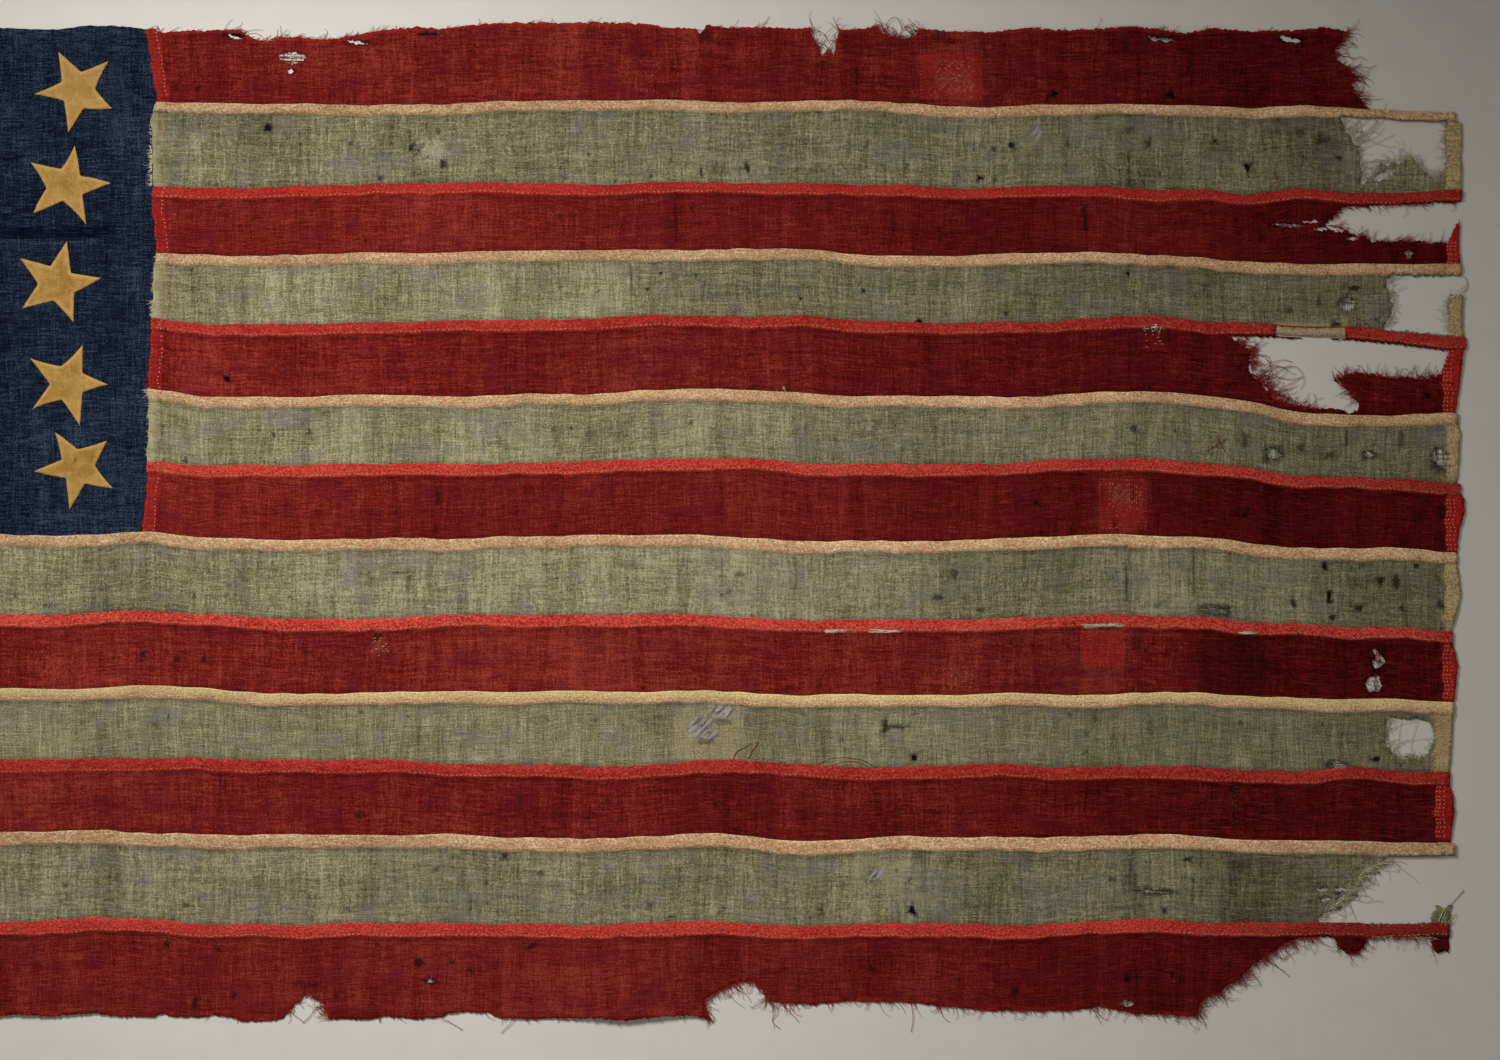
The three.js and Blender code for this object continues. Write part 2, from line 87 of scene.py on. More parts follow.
BOTTOM_EDGE = [
    (HOIST_U, 1015), (-470, 1017), (-330, 1014), (-210, 1016), (-90, 1014), (0, 1016), (19, 1014), (46, 1016), (96, 1013), (115, 1016), (153, 1017), (164, 1013.5), (176, 1017), (203, 1017), (214, 1015), (231, 1017),
    (241, 1021), (268, 1021), (281, 1019), (288, 1013), (297, 1003), (303, 998), (308, 991), (314, 998), (321, 1002), (327, 1013), (329, 1019), (373, 1019), (384, 1016), (415, 1019), (442, 1017), (448, 1013),
    (468, 1011.5), (490, 1013), (500, 1018), (530, 1019), (568, 1018), (600, 1018), (629, 1020), (657, 1016), (692, 1015), (707, 1019), (712, 1021), (706, 1010), (704, 999), (715, 993), (726, 987), (738, 982),
    (753, 981), (762, 990), (768, 1001), (791, 1003), (810, 1005), (849, 1001), (900, 1002), (938, 1006), (957, 1007), (986, 1011), (1034, 1011), (1072, 1011), (1101, 1007), (1137, 1014), (1168, 1015), (1195, 1016),
    (1199, 1006), (1204, 998), (1219, 992), (1228, 984), (1238, 979), (1246, 971), (1252, 965), (1267, 954), (1276, 950), (1286, 942), (1300, 937.5), (1318, 937), (1334, 937.5), (1338, 946), (1346, 953), (1356, 953),
    (1364, 947), (1368, 937), (1400, 936), (1430, 937), (1433, 948), (1438, 954), (1444, 951), (1449, 953), (1449.5, 935), (1449, 926),
]
FLY = {
    1: [(1364.5, 104), (1372, 110), (1378, 118)],
    2: [(1455, 109), (1455, 119), (1453, 121.5), (1456, 122), (1461, 123), (1461.5, 140), (1460, 155), (1461.5, 170), (1461, 190), (1459, 204)],
    3: [(1462, 187), (1461, 202), (1459, 206), (1459.5, 222), (1458.5, 240), (1460, 264), (1459, 276)],
    4: [(1461, 262), (1461, 277), (1460, 294), (1463, 297), (1462, 318), (1463, 338), (1462, 349)],
    5: [(1466, 335), (1466, 348), (1463, 352), (1460, 380), (1455.4, 413), (1455, 426)],
    6: [(1458, 411), (1458, 424), (1460, 432), (1459, 455), (1457, 478), (1457, 494)],
    7: [(1460, 481), (1460, 493), (1464, 499), (1464.5, 512), (1459, 531), (1457, 552), (1456, 563)],
    8: [(1456, 550), (1457, 565), (1460, 592), (1458.5, 604), (1456, 615), (1451, 630), (1450, 643)],
    9: [(1452.5, 629), (1452.5, 643), (1454.5, 651), (1458, 666), (1455, 691), (1453, 713)],
    10: [(1453.5, 700), (1453.5, 714), (1452, 725), (1451.6, 736), (1450, 760), (1448.7, 773), (1448.7, 785)],
    11: [(1449.7, 771), (1449.7, 785), (1452.5, 794), (1454.5, 813), (1452, 828), (1450.6, 838), (1450, 856)],
    12: [(1455, 841), (1455, 858), (1453, 905), (1450, 912), (1450, 936)],
    13: [(1448.7, 921), (1449, 938), (1448, 1030)],
}
TORN = {
    1: [[(276, 58), (281, 54), (292, 52), (303, 54), (307, 58), (300, 62), (289, 64), (280, 62)], [(228, 34), (236, 36), (243, 38.5), (238, 39.5), (230, 37)], [(345, 40), (356, 40.5), (372, 43.5), (362, 44.5), (350, 43)],
        [(286, 70), (290, 68.5), (296, 71), (292, 74), (288, 73)], [(1147, 37), (1160, 38), (1176, 41), (1164, 42.5), (1150, 40)], [(1277, 35), (1290, 37), (1304, 42), (1292, 43), (1280, 39)]],
    2: [[(1341, 114), (1340, 119), (1344, 125), (1344.5, 131), (1350, 136), (1351, 141), (1358, 146), (1359, 152), (1361, 157), (1359.5, 165), (1363, 172), (1360.5, 180), (1361, 184.5), (1365, 183.5), (1367, 178), (1372, 176), (1375, 168), (1380, 162),
         (1386, 166), (1393, 162), (1399, 164.5), (1405, 158), (1410.5, 157), (1416, 162), (1420, 164.5), (1423, 170), (1428, 175), (1433, 178), (1440, 174), (1445.5, 170), (1447, 150), (1444.5, 138), (1446, 122), (1446, 116)],
        [(1372, 179), (1380, 173), (1390, 169), (1396, 171), (1389, 178), (1379, 182)]],
    3: [[(1330, 229), (1325, 225.5), (1331, 219), (1336, 214), (1343.5, 208), (1352, 206), (1364.5, 207), (1378, 205), (1391, 205), (1410, 203), (1430, 202.5), (1480, 202.5), (1480, 219), (1460, 219.5), (1456, 224), (1452, 233), (1447, 243.5),
         (1438, 242), (1430, 244), (1418, 241), (1410, 242.5), (1400, 240), (1391, 242.5), (1381, 240.5), (1372, 242.5), (1364.5, 235), (1356, 236), (1346, 231), (1338, 232.5)],
        [(1271, 225), (1284, 223.5), (1298, 225), (1307, 227), (1294, 227.5), (1280, 226.8)], [(1302, 222), (1312, 220.5), (1322, 222), (1312, 223.5)], [(1311, 229), (1321, 227.6), (1329, 229.5), (1320, 231)], [(1346, 238), (1354, 237), (1360, 239), (1352, 240.5)], [(1404, 254), (1408, 250), (1413, 253), (1411, 258), (1406, 258)]],
    4: [[(1391, 276), (1386, 281), (1386, 286), (1391, 294), (1389, 300), (1393, 305), (1390, 311), (1391, 317), (1386, 322), (1384, 327), (1384, 330), (1400, 331), (1430, 333.5), (1441, 334.5), (1449.5, 336), (1449, 318), (1447, 306), (1449, 294.5), (1480, 294), (1480, 276)],
        [(1341, 300), (1347, 297), (1354, 301), (1353, 309), (1346, 311), (1340, 307)]],
    5: [[(1228, 336.5), (1236, 341), (1244, 346), (1252, 351.5), (1249, 357), (1251, 363), (1248, 369), (1252, 374), (1256, 379), (1261, 382), (1264, 388), (1269, 390), (1273, 399), (1282, 401), (1292, 406), (1302, 405.5), (1315, 409), (1330, 408), (1347, 411), (1357, 411),
         (1359, 403), (1353, 399), (1350, 392), (1345, 388), (1341, 383), (1334, 380), (1341.6, 378), (1349, 374), (1359, 372.5), (1366, 375), (1372, 373.5), (1380, 377), (1387.5, 377), (1398, 378.5), (1407, 376), (1418, 379), (1430, 377), (1441, 374), (1445, 362), (1448, 351),
         (1430, 349), (1400, 345), (1372, 342), (1350, 340), (1325, 339), (1300, 339), (1275, 337.5), (1250, 337)],
        [(1344, 409), (1349, 407.5), (1354, 410), (1350, 413), (1345, 412.5)]],
    6: [[(1264, 452), (1270, 448), (1277, 450), (1281, 456), (1276, 459), (1269, 457)], [(1362, 454), (1368, 451.5), (1375, 455), (1369, 458)], [(1432, 452), (1440, 449), (1447, 456), (1445, 468), (1437, 465), (1433, 459)]],
    8: [[(1199, 607), (1210, 605), (1221, 608), (1229, 612), (1218, 615), (1205, 612)]],
    9: [[(1372, 650), (1377, 649), (1380, 655), (1385, 661), (1380, 667), (1374, 669), (1372, 662), (1376, 657)], [(1365, 683), (1370, 677), (1379, 676), (1381, 684), (1379, 691), (1368, 692)]],
    10: [[(1386, 724), (1389, 719), (1397, 717), (1406, 720), (1416, 718), (1426, 721), (1432, 726), (1434, 737), (1431, 748), (1425, 757), (1412, 755), (1402, 759), (1391, 752), (1385, 741), (1388, 732)],
         [(1327, 764), (1334, 760.5), (1345, 763), (1347, 769), (1337, 771)]],
    12: [[(1393, 853), (1384, 861), (1388, 865), (1377, 869), (1380, 873), (1366, 875), (1370, 880), (1360, 881), (1363, 886), (1354, 888), (1358, 895), (1350, 901), (1340, 904), (1342, 908), (1330, 912), (1318, 918), (1319, 922.5), (1350, 923), (1400, 924), (1430, 923), (1433, 913), (1437, 905), (1443, 908), (1450, 905), (1480, 905), (1480, 853)],
        [(1314, 889.5), (1322, 887.5), (1330, 889.5), (1322, 891.5)], [(1333, 889), (1341, 887), (1348, 889.5), (1339, 891)], [(1318, 899), (1326, 897.2), (1332, 899.5), (1324, 901.5)], [(1340, 896.5), (1347, 894), (1353, 897), (1345, 899.5)],
         [(1138, 891), (1150, 890.2), (1164, 891.4), (1175, 893), (1160, 893), (1146, 892.4)]],
    13: [[(427, 979.5), (431, 978), (435, 980.5), (432, 982.5), (428, 982)], [(1119, 1003), (1127, 1000), (1135, 1003), (1128, 1007)]],
}
HEM = {
    2: (1446.5, 118, 192), 3: (1446.5, 205, 264), 4: (1449.5, 290, 338), 5: (1443, 350, 413), 6: (1446.5, 426, 480), 7: (1446, 495, 552), 8: (1445, 564, 632),
    9: (1443, 645, 700), 10: (1434, 714, 772), 11: (1435.5, 786, 840),
}
BAND_GAP = {5: (1275.6, 1347.3)}
BAND_TINT = {2: 0.1, 3: 0.75, 4: 0.05, 5: 0.6, 6: 0.1, 7: 0.2, 8: 0.15, 9: 0.0, 10: 0.9, 11: 0.55, 12: 0.05, 13: 0.35}
PATCHES = [(1, 917, 985, 47, 102), (2, 1017, 1063, 119, 163), (7, 1096, 1149, 476.5, 532), (9, 1078, 1127, 629, 668), (10, 672, 746, 706.5, 760), (12, 848, 908, 858, 897)]
EDGE_V = [15, 29, 57, 101, 119, 153, 187, 209, 250, 266, 295, 333, 371, 390, 404, 437, 462, 494, 515, 533, 560]
EDGE_U = [147, 146, 150, 157, 151, 153, 153, 152, 157, 154, 153, 151, 149, 148, 149, 148, 147, 147, 143.5, 142.5, 142]
CANTON_TOP = [(-578, 28.5), (-480, 29.5), (-380, 27.5), (-270, 29), (-160, 27.6), (-60, 29.2), (0, 27.7), (19, 28.7), (57, 29.6), (86, 25.8), (115, 25.8), (134, 27.7), (146, 29.6), (165, 30.5)]
CREASE_V = 234.5
STARS = [
    [(58.4, 51.7), (81.3, 72.3), (109, 61.2), (95.1, 89.3), (112.5, 108.7), (83.6, 108.7), (68.5, 133), (64.1, 101), (34.4, 94.3), (62.2, 82.3)],
    [(75, 145.4), (80.4, 176), (111, 183.3), (82.5, 194.7), (86.5, 225), (63.1, 201), (33.5, 213.5), (46.9, 188.5), (31, 162.6), (61.2, 169.3)],
    [(67.3, 241.2), (71.2, 273.2), (101.4, 278), (74.2, 292.9), (73.7, 322.5), (54, 300.9), (22.6, 308.6), (38.3, 284.3), (20.1, 258.4), (50.7, 266.5)],
    [(82.7, 344.9), (82.7, 373.2), (108.7, 384.5), (82.7, 392.6), (80, 425.9), (62.2, 399.7), (32.5, 409.2), (50.1, 384.3), (30.2, 358.3), (61.2, 366.5)],
    [(55.1, 432.2), (77.5, 449.4), (107.1, 440.8), (95.1, 465.7), (113.3, 488.2), (85.1, 483.8), (69.8, 509.7), (66, 478.1), (34.1, 471.4), (62.2, 459.9)],
]
STAR_PITCH, STAR_COLUMNS = 118.5, 6


# ------------------------------------------------------------------- helpers
def smooth(a, b, x):
    t = np.clip((np.asarray(x, float) - a) / (b - a), 0, 1)
    return t * t * (3 - 2 * t)


def seam(i, u):
    """Top line of stripe i, smooth through its 50 mm points."""
    ys = np.array(SEAM[i], float)
    u = np.asarray(u, float)
    u0 = 0.0 if len(ys) > 27 else 150.0
    k = np.clip((u - u0) / 50, 0, len(ys) - 1.000001)
    n = k.astype(int)
    t = k - n
    p = np.concatenate([[ys[0]], ys, [ys[-1]]])
    a, b, c, d = p[n], p[n + 1], p[n + 2], p[np.minimum(n + 3, len(p) - 1)]
    y = 0.5 * (2 * b + (c - a) * t + (2 * a - 5 * b + 4 * c - d) * t * t + (3 * b - a - 3 * c + d) * t ** 3)
    left = 2.2 * np.sin((u0 - u) / 95 + i * 1.7) * smooth(0, 90, u0 - u)
    hand = 0.45 * np.sin(u / 6.1 + i * 2.1 + 0.7 * np.sin(u / 23)) * (0.6 + 0.4 * np.sin(u / 71 + i)) + 0.35 * np.sin(u / 14.3 + i * 0.9)
    return y + np.where(u < u0, left, 0) + hand


def band_low(i, u):
    u = np.asarray(u, float)
    return seam(i, u) + BAND[i] + 0.55 * np.sin(u / 19 + i * 1.3) + 0.45 * np.sin(u / 47 + i * 2.9) + 0.3 * np.sin(u / 5.3 + i)


def left_edge(v):
    v = np.asarray(v, float)
    return np.interp(v, EDGE_V, EDGE_U) + 0.5 * np.sin(v / 2.9) + 0.4 * np.sin(v / 6.7)


def ripple(u, v):
    u = np.asarray(u, float)
    v = np.asarray(v, float)
    s = 3.2 * np.cos((2 * np.pi * (u - 600)) / 520 + 0.5 * np.sin(v / 190)) + 2.0 * np.cos((2 * np.pi * (u - 1150)) / 318 + v / 260) - 0.6
    body = np.where(u < 230, np.maximum(smooth(150, 230, u), smooth(560, 760, v) * 0.9), 1)
    r = np.where(s > 0, s * s / (s + 1 + 1e-9), 0) * body
    for i, u0, u1, v0, v1 in PATCHES:
        top, low = (20.0 if i == 1 else float(seam(i, u0))), float(seam(i + 1, u0))
        du = np.maximum(np.maximum(u0 - 78 - u, u - u1 - 78), 0)
        dv = np.maximum(np.maximum(top - 4 - v, v - low - 4), 0)
        r = np.maximum(r, 1.6 * smooth(70, 0, du) * smooth(60, 0, dv))
    fold = np.where((u < 150) & (v < 500), 2.0 * smooth(9, 0, np.abs(v - CREASE_V - 1.5 * np.sin(u / 37))) * smooth(-330, -120, u) * smooth(140, 95, u), 0)
    return r + fold


def value_noise(n, seed):
    """A smooth random surface made of n sine waves: amplitude about 1."""
    g = np.random.default_rng(seed)
    return [(g.uniform(0, 2 * np.pi), g.uniform(0, 2 * np.pi), g.uniform(0.6, 1.6)) for _ in range(n)]


def wavy(u, v, seed, size_u, size_v, n=6):
    out = 0
    for phase, angle, k in value_noise(n, seed):
        out = out + np.sin(2 * np.pi * (u * np.cos(angle) * k / size_u + v * np.sin(angle) * k / size_v) + phase)
    return out / math.sqrt(n)


def uneven(u, v):
    """Fine unevenness of old cloth, shared by every layer so that they keep apart."""
    u, v = np.atleast_1d(np.asarray(u, float)), np.atleast_1d(np.asarray(v, float))
    a = 0.30 * wavy(u, v, 11, 90, 60) + 0.24 * wavy(u, v, 12, 34, 80) + 0.15 * wavy(u, v, 13, 20, 26)
    puck = 0
    puck = np.zeros(np.shape(u))
    for i in range(2, 14):
        near = (v > min(SEAM[i]) - 30) & (v < max(SEAM[i]) + 42)
        if not near.any():
            continue
        un, vn = u[near], v[near]
        d = np.abs(vn - (seam(i, un) + BAND[i] * 0.5))
        puck[near] += np.exp(-((d / 15) ** 2)) * (0.24 * np.sin(un / 2.6 + i * 1.7 + 1.2 * np.sin(un / 17)) + 0.34 * np.sin(un / 5.7 + i + 0.9 * np.sin(un / 29)) * (0.6 + 0.4 * np.sin(un / 83 + i)))
    left = np.exp(-(((u - 156) / 14) ** 2)) * (v < 540) * 0.25 * np.sin(v / 2.8 + 0.8 * np.sin(v / 13))
    raw = a + puck * np.where((u < 150) & (v < 520), 0, 1) + left
    return 0.5 * (raw + np.sqrt(raw * raw + 0.03))  # lies on the surface, rises off it


def inside(poly, x, y):
    """Which points are inside the outline."""
    px = np.array([p[0] for p in poly])
    py = np.array([p[1] for p in poly])
    res = np.zeros(len(x), bool)
    j = len(px) - 1
    for k in range(len(px)):
        cond = (py[k] > y) != (py[j] > y)
        if cond.any():
            xc = (px[j] - px[k]) * (y - py[k]) / (py[j] - py[k] + 1e-12) + px[k]
            res ^= cond & (x < xc)
        j = k
    return res


def ragged(pts, step=2.2, rough=0.9, closed=True, seed=0):
    """The outline in short steps with an uneven torn edge."""
    g = np.random.default_rng(seed + 77)
    pts = [np.array(p, float) for p in pts]
    out = []
    n = len(pts)
    for k in range(n if closed else n - 1):
        a, b = pts[k], pts[(k + 1) % n]
        d = b - a
        length = np.hypot(*d)
        m = max(1, int(round(length / step)))
        nrm = np.array([-d[1], d[0]]) / max(length, 1e-6)
        for j in range(m):
            off = g.normal() * rough * (0.35 if j == 0 else 1.0)
            out.append(tuple(a + d * (j / m) + nrm * np.clip(off, -2.2 * rough, 2.2 * rough)))
    if not closed:
        out.append(tuple(pts[-1]))
    return out


def to_world(u, v, z):
    return np.stack([(np.asarray(u) - CENTRE_U) / 1000, (CENTRE_V - np.asarray(v)) / 1000, np.asarray(z) / 1000], 1)


def make_mesh(name, verts, faces, mat=None, smooth_shade=True):
    me = bpy.data.meshes.new(name)
    verts = np.asarray(verts, np.float32)
    faces = np.asarray(faces, np.int32)
    me.vertices.add(len(verts))
    me.vertices.foreach_set("co", verts.ravel())
    k = faces.shape[1]
    me.loops.add(faces.size)
    me.loops.foreach_set("vertex_index", faces.ravel())
    me.polygons.add(len(faces))
    me.polygons.foreach_set("loop_start", np.arange(0, faces.size, k, dtype=np.int32))
    me.polygons.foreach_set("use_smooth", np.full(len(faces), smooth_shade))
    me.update(calc_edges=True)
    me.validate()
    ob = bpy.data.objects.new(name, me)
    bpy.context.scene.collection.objects.link(ob)
    if mat:
        me.materials.append(mat)
    return ob


def set_attr(ob, name, vec):
    at = ob.data.attributes.new(name, "FLOAT_VECTOR", "POINT")
    at.data.foreach_set("vector", np.asarray(vec, np.float32).ravel())


def triangulate(loops, points, keep):
    """Triangles over the loops and points, kept where keep(x, y) of the middle is true."""
    verts, edges = [], []
    for loop in loops:
        base = len(verts)
        verts += [Vector(p) for p in loop]
        edges += [(base + k, base + (k + 1) % len(loop)) for k in range(len(loop))]
    verts += [Vector(p) for p in points]
    vo, _, fo, _, _, _ = delaunay_2d_cdt(verts, edges, [], 0, 1e-4)
    v = np.array([(p.x, p.y) for p in vo])
    f = np.array([list(t) for t in fo if len(t) == 3], int)
    c = v[f].mean(1)
    ok = keep(c[:, 0], c[:, 1])
    a = v[f]
    area = (a[:, 1, 0] - a[:, 0, 0]) * (a[:, 2, 1] - a[:, 0, 1]) - (a[:, 2, 0] - a[:, 0, 0]) * (a[:, 1, 1] - a[:, 0, 1])
    flip = area < 0
    f[flip] = f[flip][:, ::-1]
    ok &= np.abs(area) > 1e-4
    f = f[ok]
    used = np.unique(f)
    remap = -np.ones(len(v), int)
    remap[used] = np.arange(len(used))
    return v[used], remap[f]


def largest_part(v, f, keep_over=0.02):
    """Leaves out loose scraps that share no edge with the main cloth."""
    n = len(v)
    parent = np.arange(n)
    e = np.concatenate([f[:, [0, 1]], f[:, [1, 2]]])
    for _ in range(400):
        lo = np.minimum(parent[e[:, 0]], parent[e[:, 1]])
        new = parent.copy()
        np.minimum.at(new, e[:, 0], lo)
        np.minimum.at(new, e[:, 1], lo)
        new = new[new]
        if (new == parent).all():
            break
        parent = new
    lab = parent[f[:, 0]]
    ids, counts = np.unique(lab, return_counts=True)
    good = ids[counts >= keep_over * counts.max()]
    return v, f[np.isin(lab, good)]


def sheet_mesh(name, v2, f, top, thick, mat):
    """A closed sheet: the triangles at height top, and again thick below, joined along every free edge."""
    n = len(v2)
    verts = np.concatenate([to_world(v2[:, 0], v2[:, 1], top), to_world(v2[:, 0], v2[:, 1], top - thick)])
    up = f[:, ::-1]  # v runs down, so the order turns round
    down = f + n
    e = np.concatenate([up[:, [0, 1]], up[:, [1, 2]], up[:, [2, 0]]])
    key = e[:, 0].astype(np.int64) * n + e[:, 1]
    rev = e[:, 1].astype(np.int64) * n + e[:, 0]
    free = e[~np.isin(key, rev)]
    wall = np.concatenate([np.stack([free[:, 0], free[:, 0] + n, free[:, 1]], 1), np.stack([free[:, 1], free[:, 0] + n, free[:, 1] + n], 1)])
    faces = np.concatenate([up, down, wall])
    used = np.unique(faces)
    remap = -np.ones(2 * n, int)
    remap[used] = np.arange(len(used))
    ob = make_mesh(name, verts[used], remap[faces], mat)
    area = 0.5 * np.abs(
        (v2[f[:, 1], 0] - v2[f[:, 0], 0]) * (v2[f[:, 2], 1] - v2[f[:, 0], 1]) - (v2[f[:, 2], 0] - v2[f[:, 0], 0]) * (v2[f[:, 1], 1] - v2[f[:, 0], 1])
    ).sum() / 1e6
    return ob, np.concatenate([np.arange(n), np.arange(n)])[used], area


class Strands:
    """Many thin threads in one mesh."""

    def __init__(self):
        self.v, self.f, self.t, self.n = [], [], [], 0

    def add(self, pts, radius, tint=0.5, sides=3, taper=0.5):
        pts = np.asarray(pts, float)  # u, v, z in mm
        m = len(pts)
        d = np.gradient(pts, axis=0)
        d /= np.maximum(np.linalg.norm(d, axis=1, keepdims=True), 1e-6)
        side = np.stack([-d[:, 1], d[:, 0], np.zeros(m)], 1)
        side /= np.maximum(np.linalg.norm(side, axis=1, keepdims=True), 1e-6)
        up = np.cross(side, d)
        r = radius * np.linspace(1, taper, m)[:, None]
        ring = []
        for k in range(sides):
            a = 2 * np.pi * k / sides + 0.5
            ring.append(pts + r * (np.cos(a) * side + np.sin(a) * up))
        v = np.stack(ring, 1).reshape(-1, 3)
        f = []
        for j in range(m - 1):
            for k in range(sides):
                a, b = j * sides + k, j * sides + (k + 1) % sides
                c, e = a + sides, b + sides
                f += [(a, c, b), (b, c, e)]
        if sides == 3:
            f += [(0, 1, 2), ((m - 1) * 3 + 2, (m - 1) * 3 + 1, (m - 1) * 3)]
        else:
            f += [(0, 1, 2), (0, 2, 3), ((m - 1) * 4 + 2, (m - 1) * 4 + 1, (m - 1) * 4), ((m - 1) * 4 + 3, (m - 1) * 4 + 2, (m - 1) * 4)]
        self.v.append(v)
        self.f.append(np.array(f) + self.n)
        self.t.append(np.full(len(v), tint))
        self.n += len(v)

    def stitch(self, p, q, z, width=0.5, height=0.35, tint=0.5):
        """One short stitch from p to q, thick in the middle."""
        p, q = np.array(p, float), np.array(q, float)
        d = q - p
        length = np.hypot(*d)
        s = np.array([-d[1], d[0]]) / max(length, 1e-6) * width / 2
        m = (p + q) / 2
        v = np.array([[*p, z - 0.1], [*(m + s), z], [*(m - s), z], [*m, z + height], [*q, z - 0.1], [*m, z - 0.25]])
        f = np.array([(0, 3, 1), (0, 2, 3), (4, 1, 3), (4, 3, 2), (0, 1, 5), (0, 5, 2), (4, 5, 1), (4, 2, 5)])
        self.v.append(v)
        self.f.append(f + self.n)
        self.t.append(np.full(6, tint))
        self.n += 6

    def make(self, name, mat):
        v, f, t = np.concatenate(self.v), np.concatenate(self.f), np.concatenate(self.t)
        ob = make_mesh(name, to_world(v[:, 0], v[:, 1], v[:, 2]), f[:, ::-1], mat)
        set_attr(ob, "cuv", np.stack([v[:, 0], v[:, 1], t], 1))
        return ob


# ----------------------------------------------------------------- materials
def lin(r, g, b):
    def one(c):
        c = c / 255
        return c / 12.92 if c <= 0.04045 else ((c + 0.055) / 1.055) ** 2.4

    return (one(r), one(g), one(b), 1)


class Nodes:
    def __init__(self, name):
        self.mat = bpy.data.materials.new(name)
        self.mat.use_nodes = True
        self.nt = self.mat.node_tree
        self.nt.nodes.clear()
        self.out = self.nt.nodes.new("ShaderNodeOutputMaterial")
        self.bsdf = self.nt.nodes.new("ShaderNodeBsdfPrincipled")
        self.nt.links.new(self.bsdf.outputs[0], self.out.inputs[0])

    def link(self, a, b):
        self.nt.links.new(a, b)

    def put(self, socket, value):
        if hasattr(value, "is_linked") or hasattr(value, "links"):
            self.nt.links.new(value, socket)
        else:
            socket.default_value = value

    def attr(self, name):
        n = self.nt.nodes.new("ShaderNodeAttribute")
        n.attribute_name = name
        s = self.nt.nodes.new("ShaderNodeSeparateXYZ")
        self.link(n.outputs["Vector"], s.inputs[0])
        return s.outputs

    def math(self, op, a, b=0.0, c=0.0, clamp=False):
        n = self.nt.nodes.new("ShaderNodeMath")
        n.operation = op
        n.use_clamp = clamp
        for k, x in enumerate((a, b, c)):
            self.put(n.inputs[k], x)
        return n.outputs[0]

    def vec(self, x, y, z):
        n = self.nt.nodes.new("ShaderNodeCombineXYZ")
        for k, c in enumerate((x, y, z)):
            self.put(n.inputs[k], c)
        return n.outputs[0]

    def noise(self, u, v, w, su, sv, off=0.0, detail=2.0, rough=0.55):
        n = self.nt.nodes.new("ShaderNodeTexNoise")
        n.inputs["Scale"].default_value = 1.0
        n.inputs["Detail"].default_value = detail
        n.inputs["Roughness"].default_value = rough
        x = self.math("MULTIPLY_ADD", u, su, off)
        y = self.math("MULTIPLY_ADD", v, sv, off * 1.7)
        self.link(self.vec(x, y, w), n.inputs["Vector"])
        return n.outputs[0]

    def ramp(self, fac, stops):
        n = self.nt.nodes.new("ShaderNodeValToRGB")
        el = n.color_ramp.elements
        while len(el) < len(stops):
            el.new(0.5)
        for e, (p, c) in zip(el, stops):
            e.position = p
            e.color = c
        self.put(n.inputs[0], fac)
        return n.outputs[0]

    def mix(self, fac, a, b, mode="MIX"):
        n = self.nt.nodes.new("ShaderNodeMix")
        n.data_type = "RGBA"
        n.blend_type = mode
        n.clamp_factor = True
        self.put(n.inputs[0], fac)
        self.put(n.inputs[6], a)
        self.put(n.inputs[7], b)
        return n.outputs[2]

    def bump(self, height, strength, distance):
        n = self.nt.nodes.new("ShaderNodeBump")
        n.inputs["Strength"].default_value = strength
        n.inputs["Distance"].default_value = distance
        self.link(height, n.inputs["Height"])
        self.link(n.outputs[0], self.bsdf.inputs["Normal"])

    def finish(self, color, rough=0.93, sheen=0.0, spec=0.15):
        self.put(self.bsdf.inputs["Base Color"], color)
        self.bsdf.inputs["Roughness"].default_value = rough
        self.bsdf.inputs["Specular IOR Level"].default_value = spec
        self.bsdf.inputs["Sheen Weight"].default_value = sheen
        self.bsdf.inputs["Sheen Roughness"].default_value = 0.6
        return self.mat


def contrast(m, x, amount):
    """(x - 0.5) * amount"""
    return m.math("MULTIPLY_ADD", x, amount, -0.5 * amount)


def shade(color, k):
    return tuple(min(1.0, c * k) for c in color[:3]) + (1,)


def total(m, *xs):
    out = xs[0]
    for x in xs[1:]:
        out = m.math("ADD", out, x)
    return out


